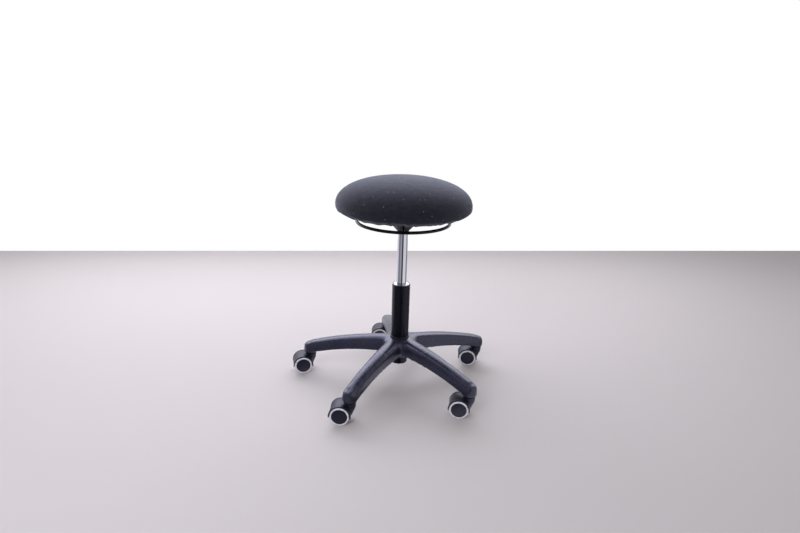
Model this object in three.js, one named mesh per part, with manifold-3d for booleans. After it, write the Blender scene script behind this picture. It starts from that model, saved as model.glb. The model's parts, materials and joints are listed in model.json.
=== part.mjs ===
// Wobble stool: a padded round seat that rocks on a ball joint, on a gas lift with a
// ring lever all round, in a five-legged base with twin-wheel casters.
// Millimetres, +Z up, floor at z = 0, the photograph's camera side is -Y.
import * as THREE from 'three';
import { mergeVertices } from 'three/addons/utils/BufferGeometryUtils.js';
import Module from 'manifold-3d';

const wasm = await Module();
wasm.setup();

// Clearances and facet counts
const fit = 0.3; // gap left between pieces that touch
const rockFit = 0.5; // gap between the spherical faces that slide on each other
const overrun = 1; // how far a cutting body runs past the face that it cuts
const bodySides = 24; // facets round a turned piece
const smallSides = 8; // facets round a pin or a screw
const wheelSides = 20; // facets round a wheel, one of them flat on the floor
const seatSides = 36; // facets round the cushion and the ring lever
const boardSides = seatSides / 2; // facets round what lies inside the cushion
const postSides = 12;

// Casters
const wheelRadius = 25;
const wheelInnerFace = 7.6; // from the middle of the caster to a wheel's inner face
const tyreWidth = 17.6;
const tyreDepth = 4.9; // from the tread in to the wheel body
const tyreEdge = 2.2;
const capDome = 1.1; // how far the wheel's face bulges
const capEdge = 1.4;
const axleRadius = 4;
const axleReach = 12; // how far the axle goes into each wheel
const casterTrail = 24; // stem axis to wheel axis
const hoodGap = 2;
const hoodWall = 3;
const hoodEdge = 1.4;
const hoodSteps = 8; // chords along the hood
const hoodHalfWidth = 25;
const hoodFrontAngle = -10; // degrees above the wheel centre, on the stem's side
const hoodRearAngle = 186;
const webHalfWidth = 7;
const axleBossRadius = 9;
const axleBossFrom = 200; // degrees, the web's round lower end
const axleBossTo = 340;
const postRadius = 13.5;
const postFootRadius = 5.5;
const postSteps = 3; // chords down the post's taper
const postDrop = 8.5; // straight part of the post
const postTaper = 13; // height over which the post draws in to the hood
const postRise = 3.4; // post above the hood
const stemRadius = 5.5;
const stemInPost = 16;
const stemInBoss = 22;
const stemCollarRadius = 9;
const stemCollarHeight = 1;
const stemGroove = 1; // depth of the groove for the grip ring
const stemGrooveHeight = 3;
const casterNames = ['rear', 'left', 'front_left', 'front_right', 'right'];
const casterTurns = [0, 13, -3, -9, -5]; // degrees that each caster has swung from straight

// Five-legged base
const legCircleRadius = 265.6;
const legFirstAngle = 98.8; // degrees from +X to the rear leg
const legRootRadius = 30; // the legs' curves start here, inside the hub
const legBendRadius = 150; // and bend towards the floor round here
const crestAtRoot = 79.5; // heights above the bosses' lower faces
const crestAtBend = 71;
const crestAtEnd = 32;
const soleAtRoot = 47;
const soleAtBend = 39;
const soleAtEnd = 2;
const legHalfWidthRoot = 23;
const legHalfWidth = 18.5;
const legShoulder = 11;
const legCrown = 2.2;
const legSteps = 6;
const legWall = 3.5;
const legRib = 3;
const legPocketStart = 50;
const legPocketEnd = 232;
const legPockets = 3;
const legPocketSteps = 2;
const bossRadius = 18.5;
const bossHeight = 33;
const bossEdge = 9;
const hubRadius = 41;
const hubEdge = 8;
const hubTopAboveBoss = 78;
const hubDepth = 40;
const hubSleeveWall = 6;
const hubSleeveDepth = 60;

// Stand tube, its collar and the guide bush
const columnGap = 11; // from the gas cylinder's skin to the tube's
const tubeWall = 2;
const tubeAboveHub = 155.5;
const tubeDepth = 78.5; // below the hub's top
const tubeTaper = 2.5; // the tube draws in by this much down to its foot
const tubeFloor = 3;
const tubeRim = 0.5; // roll of the tube's upper edge
const tubeRimHeight = 3.5;
const collarWall = 2.2;
const collarHeight = 4;
const bushDepth = 66;
const bushLip = 3.2;
const bushLipInset = 0.8;
const bushLipEdge = 1.2;

// Gas spring
const cylinderRadius = 14;
const cylinderWall = 2;
const cylinderTaper = 1; // the cylinder's top cone draws in by this much
const cylinderConeLength = 42;
const cylinderInTube = 79; // below the tube's top at full height
const cylinderHeadDepth = 12;
const chromeShown = 145; // between the bush and the socket at full height
const cylinderInSocket = 20;
const glandHeight = 17;
const rodRadius = 5;
const rodTailRadius = 4;
const rodGroove = 0.8;
const rodGrooveHeight = 1.8;
const rodTailDrop = 4; // below the tube's floor
const clipRadius = 8;
const clipHeight = 1.2;
const bearingRadius = 14;
const bearingHeight = 8;
const bearingRace = 2.5; // height of each race washer
const bearingCageInset = 1.6;
const pistonAboveGland = 4;
const pistonHeight = 8;
const rodNeckRadius = 3;
const rodNeckTop = 2;
const valveRadius = 3.5;
const valveAboveCylinder = 6;
const valveBelowHead = 2;

// Ring lever
const ringRadius = 128;
const ringRodRadius = 4;
const armRodRadius = 3;
const armFirstAngle = 30; // degrees, the other arms follow every third of a turn
const ringAboveSocketFoot = 33.3;
const leverBossRadius = 10;
const leverPinOffset = 38; // from the stool's axis to the pin, towards the front
const leverPinRadius = 2.5;
const leverPinLength = 17;
const leverSlotWidth = 8;
const leverSlotBelow = 7; // slot below and above the arms' centre line
const leverSlotAbove = 4;
const leverCavityRadius = 17;
const armCount = 3;

// Socket under the seat, ball joint and buffer
const socketSleeveWall = 1.8;
const socketSleeveHeight = 7;
const socketWaistRadius = 27;
const socketWaistHeight = 12; // from the sleeve to the waist
const socketFlareRadius = 46;
const socketFlareHeight = 14.5;
const socketRimRadius = 48;
const socketRimRise = 5;
const socketRimEdge = 1;
const socketTopAboveBall = 6;
const ballAboveRing = 24.7;
const ballRadius = 16;
const linerWall = 2.2;
const linerOpenAngle = 40; // degrees from straight down to the liner's lower edge
const rockAngle = 6; // degrees that the seat rocks each way about either axis
const socketThroatRadius = 10;
const keeperRadius = 34;
const keeperSeat = 2; // recess floor above the ball's middle
const keeperHeight = 6.7;
const neckRadius = 8;
const bufferOuterRadius = 33;
const bufferSlope = 3; // fall of the buffer's top from its hole to its edge
const bufferPlay = 2.4; // from the buffer's hole edge up to the plate

// Seat plate, board, upholstery
const plateThickness = 3;
const plateRadius = 88;
const plateFlangeBelowHem = 1.4;
const crownRadius = 50;
const crownHoleRadius = 57.5; // where the raised middle meets the flange
const crownAboveBall = 21;
const screwCircleRadius = 76;
const screwCount = 4;
const screwHeadRadius = 5;
const screwHeadHeight = 2.6;
const screwShankRadius = 2.5;
const screwInBoard = 9;
const boardMargin = 5; // from the hem in to the board's edge
const boardHoleRadius = 64;
const boardThickness = 12;
const boardEdge = 2.5;
const seatRadius = 182.4;
const hemAboveBall = 5;
const hemInset = 19.4; // the cover draws in by this much from its widest line to its hem
const hemTurnUnder = 13;
const widestAboveHem = 17;
const crownHeight = 73.6; // from the widest line to the top
const seatUpperPower = 2.26; // roundness of the cushion above and below its widest line
const seatLowerPower = 4.3;
const coverThickness = 1.8;
const foamRecessMargin = 4;
const dustCoverThickness = 1;
const dustCoverInset = 3;
const cushionUpperSteps = 8;
const cushionLowerSteps = 4;

// Sizes and levels that follow from those above
const tubeRadius = cylinderRadius + columnGap;
const hemRadius = seatRadius - hemInset;
const boardRadius = hemRadius - boardMargin;
const hoodInner = wheelRadius + hoodGap;
const hoodOuter = hoodInner + hoodWall;
const postTop = wheelRadius + hoodOuter + postRise;
const bossBottom = postTop + fit + stemCollarHeight + fit;
const hubTop = bossBottom + hubTopAboveBoss;
const tubeBottom = hubTop - tubeDepth;
const tubeTop = hubTop + tubeAboveHub;
const bushTop = tubeTop + fit + bushLip;
const socketFoot = bushTop + chromeShown;
const cylinderTop = socketFoot + cylinderInSocket;
const cylinderBottom = tubeTop - cylinderInTube;
const ringLevel = socketFoot + ringAboveSocketFoot;
const ballLevel = ringLevel + ballAboveRing;
const hemLevel = ballLevel + hemAboveBall;
const plateLevel = hemLevel - plateFlangeBelowHem;
const boardLevel = plateLevel + plateThickness + fit;
const crownLevel = ballLevel + crownAboveBall;
const bearingLevel = tubeBottom + tubeFloor + fit;
const pistonLevel = cylinderBottom + glandHeight + pistonAboveGland;
const legTurn = 360 / casterNames.length;

const radians = THREE.MathUtils.degToRad;

// Geometry helpers

// One closed skin: shared corners merged, empty triangles dropped, faces pointing out.
function closed(geometry) {
  const bare = geometry.clone();
  bare.deleteAttribute('normal');
  bare.deleteAttribute('uv');
  const merged = mergeVertices(bare);
  const corners = merged.index.array;
  const at = (i) => new THREE.Vector3().fromBufferAttribute(merged.attributes.position, i);
  const kept = [];
  let volume = 0;
  for (let i = 0; i < corners.length; i += 3) {
    const [a, b, c] = corners.slice(i, i + 3);
    if (a === b || b === c || c === a) continue;
    kept.push([a, b, c]);
    volume += at(a).dot(at(b).cross(at(c)));
  }
  merged.setIndex(kept.flatMap(([a, b, c]) => (volume > 0 ? [a, b, c] : [a, c, b])));
  return merged;
}

function solid(geometry) {
  const skin = closed(geometry);
  const vertProperties = new Float32Array(skin.attributes.position.array);
  const triVerts = new Uint32Array(skin.index.array);
  return new wasm.Manifold(new wasm.Mesh({ numProp: 3, vertProperties, triVerts }));
}

function skinOf(body) {
  const { vertProperties, triVerts } = body.getMesh();
  const geometry = new THREE.BufferGeometry();
  geometry.setAttribute('position', new THREE.BufferAttribute(vertProperties, 3));
  geometry.setIndex(new THREE.BufferAttribute(triVerts, 1));
  return geometry;
}

function joined(bodies) {
  return bodies.reduce((all, body) => all.add(body));
}

function carved(body, cuts) {
  return cuts.reduce((rest, cut) => rest.subtract(cut), body);
}

// Turned piece round the vertical axis, from [radius, height] pairs.
function turned(outline, sides = bodySides) {
  const profile = outline.map(([radius, height]) => new THREE.Vector2(radius, height));
  return new THREE.LatheGeometry(profile, sides).rotateX(Math.PI / 2);
}

// Corner radius of a faceted hole whose flats clear a round piece that turns in it
function clearHole(radius, sides) {
  return (radius + fit) / Math.cos(Math.PI / sides);
}

function ringOutline(inner, outer, bottom, top) {
  return [[inner, bottom], [outer, bottom], [outer, top], [inner, top], [inner, bottom]];
}

function upright(radius, bottom, top, sides = bodySides) {
  return turned([[0, bottom], [radius, bottom], [radius, top], [0, top]], sides);
}

// Points of an arc as [radius, height] pairs, angles in degrees.
function arc(centreRadius, centreHeight, size, from, to, steps) {
  return Array.from({ length: steps + 1 }, (_, i) => {
    const angle = radians(from + ((to - from) * i) / steps);
    return [centreRadius + size * Math.cos(angle), centreHeight + size * Math.sin(angle)];
  });
}

function bend(start, middle, end, t) {
  const rest = 1 - t;
  return rest * rest * start + 2 * rest * t * middle + t * t * end;
}

// Skin through a row of matching outlines, closed at both ends.
function loft(sections) {
  const around = sections[0].length;
  const points = sections.flat();
  const last = points.length - around;
  const faces = [];
  for (let row = 0; row < last; row += around) {
    for (let i = 0; i < around; i += 1) {
      const next = (i + 1) % around;
      faces.push(row + i, row + next, row + around + next);
      faces.push(row + i, row + around + next, row + around + i);
    }
  }
  for (let i = 1; i < around - 1; i += 1) {
    faces.push(0, i + 1, i, last, last + i, last + i + 1);
  }
  const geometry = new THREE.BufferGeometry().setFromPoints(points);
  geometry.setIndex(faces);
  return geometry;
}

// Finishes
const finish = (color, roughness, metalness) =>
  new THREE.MeshStandardMaterial({ color, roughness, metalness });
const nylon = finish('#3b3e49', 0.5, 0);
const blackNylon = finish('#191a1e', 0.35, 0);
const blackEnamel = finish('#17171a', 0.25, 0.1);
const satinBlackSteel = finish('#16171a', 0.45, 0.2);
const chrome = finish('#d4d6db', 0.12, 1);
const steel = finish('#9a9da1', 0.35, 1);
const zincSteel = finish('#a9acae', 0.4, 1);
const brightSteel = finish('#c3c5c8', 0.25, 1);
const acetal = finish('#202124', 0.35, 0);
const whiteAcetal = finish('#dedcd4', 0.45, 0);
const rubber = finish('#1c1c1d', 0.9, 0);
const greyTyre = finish('#c9c8cf', 0.6, 0);
const wool = finish('#25262c', 0.95, 0);
const foamRubber = finish('#d9cfa8', 0.95, 0);
const plywood = finish('#b98f5e', 0.75, 0);
const felt = finish('#1d1d1f', 1, 0);

function place(group, name, geometry, material) {
  const mesh = new THREE.Mesh(closed(geometry), material);
  mesh.name = name;
  group.add(mesh);
}

// Base: one moulding with hollow arched legs, a hub and five caster bosses
function legSection(t) {
  const along = bend(legRootRadius, legBendRadius, legCircleRadius, t);
  const crest = bossBottom + bend(crestAtRoot, crestAtBend, crestAtEnd, t);
  const sole = bossBottom + bend(soleAtRoot, soleAtBend, soleAtEnd, t);
  const half = bend(legHalfWidthRoot, legHalfWidth, legHalfWidth, t);
  return { along, crest, sole, half };
}

function legOuter(t) {
  const { along, crest, sole, half } = legSection(t);
  const shoulder = arc(half - legShoulder, crest - legCrown - legShoulder, legShoulder, 0, 90, 2);
  const side = [[half, sole], ...shoulder];
  const mirrored = side.map(([across, height]) => [-across, height]).reverse();
  const outline = [...side, [0, crest], ...mirrored];
  return outline.map(([across, height]) => new THREE.Vector3(along, across, height));
}

function legPocket(first, last) {
  const sections = Array.from({ length: legPocketSteps + 1 }, (_, i) => {
    const { along, crest, sole, half } = legSection(first + ((last - first) * i) / legPocketSteps);
    const inside = half - legWall;
    const roof = crest - legCrown - legWall;
    const side = [[inside, sole - legRib - overrun], [inside, roof - legShoulder], [legShoulder, roof]];
    const mirrored = side.map(([across, height]) => [-across, height]).reverse();
    return [...side, ...mirrored].map(([across, height]) => new THREE.Vector3(along, across, height));
  });
  return solid(loft(sections));
}

// Share of the leg's curve at a distance from the stool's axis
function legShare(distance) {
  let low = 0;
  let high = 1;
  for (let i = 0; i < bodySides; i += 1) {
    const middle = (low + high) / 2;
    if (legSection(middle).along < distance) low = middle;
    else high = middle;
  }
  return low;
}

function leg() {
  const sections = Array.from({ length: legSteps + 1 }, (_, i) => legOuter(i / legSteps));
  const pitch = (legPocketEnd - legPocketStart + legRib) / legPockets;
  const pockets = Array.from({ length: legPockets }, (_, i) => {
    const start = legPocketStart + i * pitch;
    return legPocket(legShare(start), legShare(start + pitch - legRib));
  });
  const boss = solid(turned([
    [0, bossBottom],
    [bossRadius, bossBottom],
    ...arc(bossRadius - bossEdge, bossBottom + bossHeight - bossEdge, bossEdge, 0, 90, 2),
    [0, bossBottom + bossHeight],
  ])).translate([legCircleRadius, 0, 0]);
  return carved(solid(loft(sections)), pockets).add(boss);
}

function starBase() {
  const hub = solid(turned([
    [0, hubTop - hubDepth],
    [hubRadius, hubTop - hubDepth],
    ...arc(hubRadius - hubEdge, hubTop - hubEdge, hubEdge, 0, 90, 2),
    [0, hubTop],
  ]));
  const sleeveRadius = tubeRadius + hubSleeveWall;
  const sleeve = solid(upright(sleeveRadius, hubTop - hubSleeveDepth, hubTop - hubEdge));
  const legs = casterNames.map((_, i) => leg().rotate([0, 0, legFirstAngle + legTurn * i]));
  const footRadius = tubeRadius - tubeTaper;
  const bore = solid(turned([
    [0, tubeBottom],
    [footRadius + fit, tubeBottom],
    [tubeRadius + fit, hubTop],
    [tubeRadius + fit, hubTop + overrun + legCrown],
    [0, hubTop + overrun + legCrown],
  ]));
  const stemHole = solid(upright(
    clearHole(stemRadius, smallSides),
    bossBottom - overrun,
    bossBottom + stemInBoss + fit,
    smallSides,
  )).translate([legCircleRadius, 0, 0]);
  const stemHoles = casterNames.map((_, i) => stemHole.rotate([0, 0, legFirstAngle + legTurn * i]));
  const topCut = solid(upright(tubeRadius + collarWall + fit, hubTop, hubTop + crestAtRoot));
  return skinOf(carved(joined([hub, sleeve, ...legs]), [bore, topCut, ...stemHoles]));
}

// Column
function standTube() {
  const foot = tubeRadius - tubeTaper;
  const rimLevel = tubeTop - tubeRimHeight;
  return turned([
    [rodTailRadius + fit, tubeBottom],
    [foot - tubeWall, tubeBottom],
    [foot, tubeBottom + tubeWall],
    [tubeRadius, hubTop],
    [tubeRadius, rimLevel],
    [tubeRadius + tubeRim, rimLevel + tubeRim],
    [tubeRadius + tubeRim, tubeTop - tubeRim],
    [tubeRadius, tubeTop],
    [tubeRadius - tubeWall, tubeTop],
    [tubeRadius - tubeWall, hubTop],
    [foot - tubeWall, tubeBottom + tubeFloor],
    [rodTailRadius + fit, tubeBottom + tubeFloor],
    [rodTailRadius + fit, tubeBottom],
  ]);
}

function tubeCollar() {
  const inner = tubeRadius + fit;
  const outer = inner + collarWall;
  const bottom = hubTop + fit;
  const edge = collarWall / 2;
  return turned([
    [inner, bottom],
    [outer, bottom],
    [outer, bottom + collarHeight - edge],
    [outer - edge, bottom + collarHeight],
    [inner, bottom + collarHeight],
    [inner, bottom],
  ]);
}

function guideBush() {
  const inner = clearHole(cylinderRadius, bodySides);
  const outer = tubeRadius - tubeWall - fit;
  const lip = tubeRadius - bushLipInset;
  return turned([
    [inner, tubeTop - bushDepth],
    [outer, tubeTop - bushDepth],
    [outer, tubeTop + fit],
    [lip, tubeTop + fit],
    [lip, bushTop - bushLipEdge],
    [lip - bushLipEdge, bushTop],
    [inner, bushTop],
    [inner, tubeTop - bushDepth],
  ]);
}

function gasCylinder() {
  const inner = cylinderRadius - cylinderWall;
  const head = cylinderTop - cylinderHeadDepth;
  return turned([
    [inner, cylinderBottom],
    [cylinderRadius, cylinderBottom],
    [cylinderRadius, cylinderTop - cylinderConeLength],
    [cylinderRadius - cylinderTaper, cylinderTop],
    [valveRadius + fit, cylinderTop],
    [valveRadius + fit, head],
    [inner, head],
    [inner, cylinderBottom],
  ]);
}

function pistonRod() {
  const shoulder = bearingLevel + bearingHeight + fit;
  const grooveTop = tubeBottom;
  const grooveBottom = grooveTop - rodGrooveHeight;
  return turned([
    [0, tubeBottom - rodTailDrop],
    [rodTailRadius, tubeBottom - rodTailDrop],
    [rodTailRadius, grooveBottom],
    [rodTailRadius - rodGroove, grooveBottom],
    [rodTailRadius - rodGroove, grooveTop],
    [rodTailRadius, grooveTop],
    [rodTailRadius, shoulder],
    [rodRadius, shoulder],
    [rodRadius, pistonLevel],
    [rodNeckRadius, pistonLevel],
    [rodNeckRadius, pistonLevel + pistonHeight + rodNeckTop],
    [0, pistonLevel + pistonHeight + rodNeckTop],
  ], smallSides);
}

function thrustBearing() {
  const inner = rodTailRadius + fit;
  const cage = bearingRadius - bearingCageInset;
  const lower = bearingLevel + bearingRace;
  const upper = bearingLevel + bearingHeight - bearingRace;
  return turned([
    [inner, bearingLevel],
    [bearingRadius, bearingLevel],
    [bearingRadius, lower],
    [cage, lower],
    [cage, upper],
    [bearingRadius, upper],
    [bearingRadius, bearingLevel + bearingHeight],
    [inner, bearingLevel + bearingHeight],
    [inner, bearingLevel],
  ], smallSides);
}

function rodClip() {
  const top = tubeBottom - fit;
  const inner = rodTailRadius - rodGroove + fit;
  return turned(ringOutline(inner, clipRadius, top - clipHeight, top), smallSides);
}

function pistonHead() {
  const outer = cylinderRadius - cylinderWall - fit;
  const bottom = pistonLevel + fit;
  return turned(ringOutline(rodNeckRadius + fit, outer, bottom, bottom + pistonHeight), smallSides);
}

function cylinderGland() {
  const outer = cylinderRadius - cylinderWall - fit;
  const top = cylinderBottom + glandHeight;
  return turned(ringOutline(rodRadius + fit, outer, cylinderBottom, top), smallSides);
}

function valveButton() {
  const bottom = cylinderTop - cylinderHeadDepth - valveBelowHead;
  return upright(valveRadius, bottom, cylinderTop + valveAboveCylinder, smallSides);
}

// Ring lever: a ring on three arms that meet over the valve
function radialRod(radius, reach, angle) {
  const rod = new THREE.CylinderGeometry(radius, radius, reach, smallSides);
  rod.translate(0, reach / 2, 0);
  rod.rotateZ(radians(angle) - Math.PI / 2);
  return rod.translate(0, 0, ringLevel);
}

function armAngles() {
  return Array.from({ length: armCount }, (_, i) => armFirstAngle + (360 / armCount) * i);
}

function ringLever() {
  const ring = new THREE.TorusGeometry(ringRadius, ringRodRadius, smallSides, seatSides);
  ring.rotateZ(radians(armFirstAngle)).translate(0, 0, ringLevel);
  const arms = armAngles().map((angle) => solid(radialRod(armRodRadius, ringRadius, angle)));
  const bossFoot = cylinderTop + valveAboveCylinder + fit;
  const boss = solid(upright(leverBossRadius, bossFoot, ringLevel + armRodRadius, smallSides));
  const pin = new THREE.CylinderGeometry(leverPinRadius, leverPinRadius, leverPinLength, smallSides);
  pin.rotateZ(Math.PI / 2).translate(0, -leverPinOffset, ringLevel);
  return skinOf(joined([solid(ring), boss, solid(pin), ...arms]));
}

// Socket on the lift's cone, and the ball joint
function ball(radius) {
  const round = new THREE.SphereGeometry(radius, bodySides, bodySides / 2).rotateX(Math.PI / 2);
  return solid(round.translate(0, 0, ballLevel));
}

function socketCone() {
  const sleeveRadius = cylinderRadius + socketSleeveWall;
  const waist = socketFoot + socketSleeveHeight + socketWaistHeight;
  const flare = waist + socketFlareHeight;
  const top = ballLevel + socketTopAboveBall;
  const body = solid(turned([
    [0, socketFoot],
    [sleeveRadius, socketFoot],
    [sleeveRadius, socketFoot + socketSleeveHeight],
    [socketWaistRadius, waist],
    [socketFlareRadius, flare],
    [socketRimRadius, flare + socketRimRise],
    [socketRimRadius, top - socketRimEdge],
    [socketRimRadius - socketRimEdge, top],
    [0, top],
  ]));
  const boreTop = cylinderRadius - cylinderTaper;
  const coneFoot = cylinderTop - cylinderConeLength;
  const bore = solid(turned([
    [0, coneFoot],
    [cylinderRadius + fit, coneFoot],
    [boreTop + fit, cylinderTop],
    [boreTop + fit, cylinderTop + overrun],
    [0, cylinderTop + overrun],
  ]));
  const slotFloor = ringLevel - leverSlotBelow;
  const slotTop = ringLevel + leverSlotAbove;
  const cavity = solid(upright(leverCavityRadius, cylinderTop + fit, slotTop));
  const throat = solid(upright(socketThroatRadius, slotTop - overrun, ballLevel));
  const recess = solid(upright(keeperRadius + fit, ballLevel + keeperSeat, top + overrun));
  const slots = armAngles().map((angle) => {
    const reach = socketRimRadius + overrun;
    const slot = new THREE.BoxGeometry(reach, leverSlotWidth, slotTop - slotFloor);
    slot.translate(reach / 2, 0, (slotTop + slotFloor) / 2);
    return solid(slot.rotateZ(radians(angle)));
  });
  const pinRadius = leverPinRadius + fit;
  const pinHole = new THREE.CylinderGeometry(pinRadius, pinRadius, leverPinLength + 2 * fit, smallSides);
  pinHole.rotateZ(Math.PI / 2).translate(0, -leverPinOffset, ringLevel);
  const seat = ball(ballRadius + rockFit + linerWall + rockFit);
  return skinOf(carved(body, [bore, cavity, throat, recess, seat, solid(pinHole), ...slots]));
}

function ballLiner() {
  const inner = ballRadius + rockFit;
  const outer = inner + linerWall;
  const open = linerOpenAngle - 90;
  const lip = THREE.MathUtils.radToDeg(Math.asin(keeperSeat / outer)) - rockAngle;
  return turned([
    ...arc(0, ballLevel, outer, open, lip, 4),
    ...arc(0, ballLevel, inner, lip, open, 4),
    [outer * Math.cos(radians(open)), ballLevel + outer * Math.sin(radians(open))],
  ]);
}

function retainingRing() {
  const bottom = ballLevel + keeperSeat + fit;
  const ring = solid(upright(keeperRadius, bottom, bottom + keeperHeight));
  return skinOf(ring.subtract(ball(ballRadius + rockFit)));
}

function rubberBuffer() {
  const bottom = ballLevel + keeperSeat + fit + keeperHeight + fit;
  const top = crownLevel - bufferPlay;
  const inner = Math.sqrt(ballRadius ** 2 - (bottom - ballLevel) ** 2) + rockFit;
  return turned([
    [inner, bottom],
    [bufferOuterRadius, bottom],
    [bufferOuterRadius, top - bufferSlope],
    [inner, top],
    [inner, bottom],
  ]);
}

// Seat
function screwPlaces() {
  const step = 360 / screwCount;
  return Array.from({ length: screwCount }, (_, i) => {
    const angle = radians(step * (i + 1 / 2));
    return [screwCircleRadius * Math.cos(angle), screwCircleRadius * Math.sin(angle)];
  });
}

function screwHoles(bottom, top) {
  return screwPlaces().map(([x, y]) =>
    solid(upright(screwShankRadius + fit, bottom, top, smallSides)).translate([x, y, 0]));
}

function seatPlate() {
  const neckAngle = THREE.MathUtils.radToDeg(Math.acos(neckRadius / ballRadius));
  const plate = solid(turned([
    ...arc(0, ballLevel, ballRadius, -90, neckAngle, 7),
    [neckRadius, crownLevel],
    [crownRadius, crownLevel],
    [crownHoleRadius, plateLevel],
    [plateRadius, plateLevel],
    [plateRadius, plateLevel + plateThickness],
    [crownHoleRadius + plateThickness, plateLevel + plateThickness],
    [crownRadius + plateThickness, crownLevel + plateThickness],
    [0, crownLevel + plateThickness],
  ]));
  return skinOf(carved(plate, screwHoles(plateLevel - overrun, plateLevel + plateThickness + overrun)));
}

function seatScrew([x, y]) {
  const headTop = plateLevel - fit;
  const tip = boardLevel + screwInBoard;
  return turned([
    [0, headTop - screwHeadHeight],
    [screwHeadRadius / 2, headTop - screwHeadHeight],
    [screwHeadRadius, headTop - screwHeadHeight / 2],
    [screwHeadRadius, headTop],
    [screwShankRadius, headTop],
    [screwShankRadius, tip - screwShankRadius],
    [0, tip],
  ], smallSides).translate(x, y, 0);
}

function seatBoard() {
  const top = boardLevel + boardThickness;
  const board = solid(turned([
    [boardHoleRadius, boardLevel],
    [boardRadius - boardEdge, boardLevel],
    [boardRadius, boardLevel + boardEdge],
    [boardRadius, top - boardEdge],
    [boardRadius - boardEdge, top],
    [boardHoleRadius, top],
    [boardHoleRadius, boardLevel],
  ], boardSides));
  return skinOf(carved(board, screwHoles(boardLevel - overrun, boardLevel + screwInBoard + fit)));
}

// Outline of the cushion from its hem to its top, drawn in by an inset.
function cushionOutline(inset, upperSteps, lowerSteps) {
  const widest = hemLevel + widestAboveHem;
  const radius = seatRadius - inset;
  const rise = crownHeight - inset;
  const hemFall = Math.pow(1 - Math.pow(hemRadius / seatRadius, seatLowerPower), 1 / seatLowerPower);
  const fall = widestAboveHem / hemFall - inset;
  const hemAngle = Math.asin(Math.pow((widestAboveHem - inset) / fall, seatLowerPower / 2));
  const lower = Array.from({ length: lowerSteps }, (_, i) => {
    const angle = hemAngle * (1 - i / lowerSteps);
    return [
      radius * Math.pow(Math.cos(angle), 2 / seatLowerPower),
      widest - fall * Math.pow(Math.sin(angle), 2 / seatLowerPower),
    ];
  });
  const upper = Array.from({ length: upperSteps }, (_, i) => {
    const angle = (Math.PI / 2) * (i / upperSteps);
    return [
      radius * Math.pow(Math.cos(angle), 2 / seatUpperPower),
      widest + rise * Math.pow(Math.sin(angle), 2 / seatUpperPower),
    ];
  });
  return [...lower, ...upper, [0, widest + rise]];
}

function seatCover() {
  const outer = cushionOutline(0, cushionUpperSteps, cushionLowerSteps);
  const inner = cushionOutline(coverThickness, cushionUpperSteps - 2, cushionLowerSteps - 1);
  const turnUnder = hemRadius - hemTurnUnder;
  return turned([
    [turnUnder, hemLevel],
    ...outer,
    ...inner.reverse(),
    [turnUnder, hemLevel + coverThickness - fit],
    [turnUnder, hemLevel],
  ], seatSides);
}

function seatFoam() {
  const recess = crownRadius + plateThickness + foamRecessMargin;
  const roof = crownLevel + plateThickness + fit;
  const underside = boardLevel + boardThickness + fit;
  const collar = boardRadius + fit;
  const skirt = hemLevel + coverThickness + fit;
  const outline = cushionOutline(coverThickness + fit, cushionUpperSteps - 2, cushionLowerSteps - 1);
  return turned([
    [0, roof],
    [recess, roof],
    [recess, underside],
    [collar, underside],
    [collar, skirt],
    ...outline.filter(([, height]) => height > skirt),
  ], boardSides);
}

function dustCover() {
  const top = boardLevel - fit;
  const inner = plateRadius + dustCoverInset;
  const outer = hemRadius - hemTurnUnder - fit;
  return turned(ringOutline(inner, outer, top - dustCoverThickness, top), boardSides);
}

// Casters, drawn with the stem on the vertical axis and the wheels trailing towards -X
function wheelTurned(outline) {
  const profile = outline.map(([radius, across]) => new THREE.Vector2(radius, across));
  const lathe = new THREE.LatheGeometry(profile, wheelSides, Math.PI / wheelSides);
  return lathe.translate(-casterTrail, 0, wheelRadius);
}

// Corner radius of a wheel whose flats lie at the given radius
function cornerOf(radius) {
  return radius / Math.cos(Math.PI / wheelSides);
}

function wheelBody(side) {
  const rim = cornerOf(wheelRadius - tyreDepth - fit);
  const outer = wheelInnerFace + tyreWidth - capEdge / 2;
  return wheelTurned([
    [0, side * (webHalfWidth + axleReach + fit)],
    [axleRadius + fit, side * (webHalfWidth + axleReach + fit)],
    [axleRadius + fit, side * wheelInnerFace],
    [rim, side * wheelInnerFace],
    [rim, side * (outer - capEdge)],
    [rim - capEdge, side * outer],
    [0, side * (outer + capDome)],
  ]);
}

function tyre(side) {
  const inner = cornerOf(wheelRadius - tyreDepth);
  const outer = cornerOf(wheelRadius);
  const near = wheelInnerFace;
  const far = wheelInnerFace + tyreWidth;
  return wheelTurned([
    [inner, side * near],
    [outer, side * near],
    [outer, side * (far - tyreEdge)],
    [outer - tyreEdge, side * far],
    [inner, side * far],
    [inner, side * near],
  ]);
}

function casterAxle() {
  const reach = webHalfWidth + axleReach;
  const axle = new THREE.CylinderGeometry(axleRadius, axleRadius, 2 * reach, smallSides);
  return axle.translate(-casterTrail, 0, wheelRadius);
}

function acrossCylinder(radius, from, to) {
  const cylinder = new THREE.CylinderGeometry(radius, radius, to - from, bodySides);
  return solid(cylinder.translate(-casterTrail, (from + to) / 2, wheelRadius));
}

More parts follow.
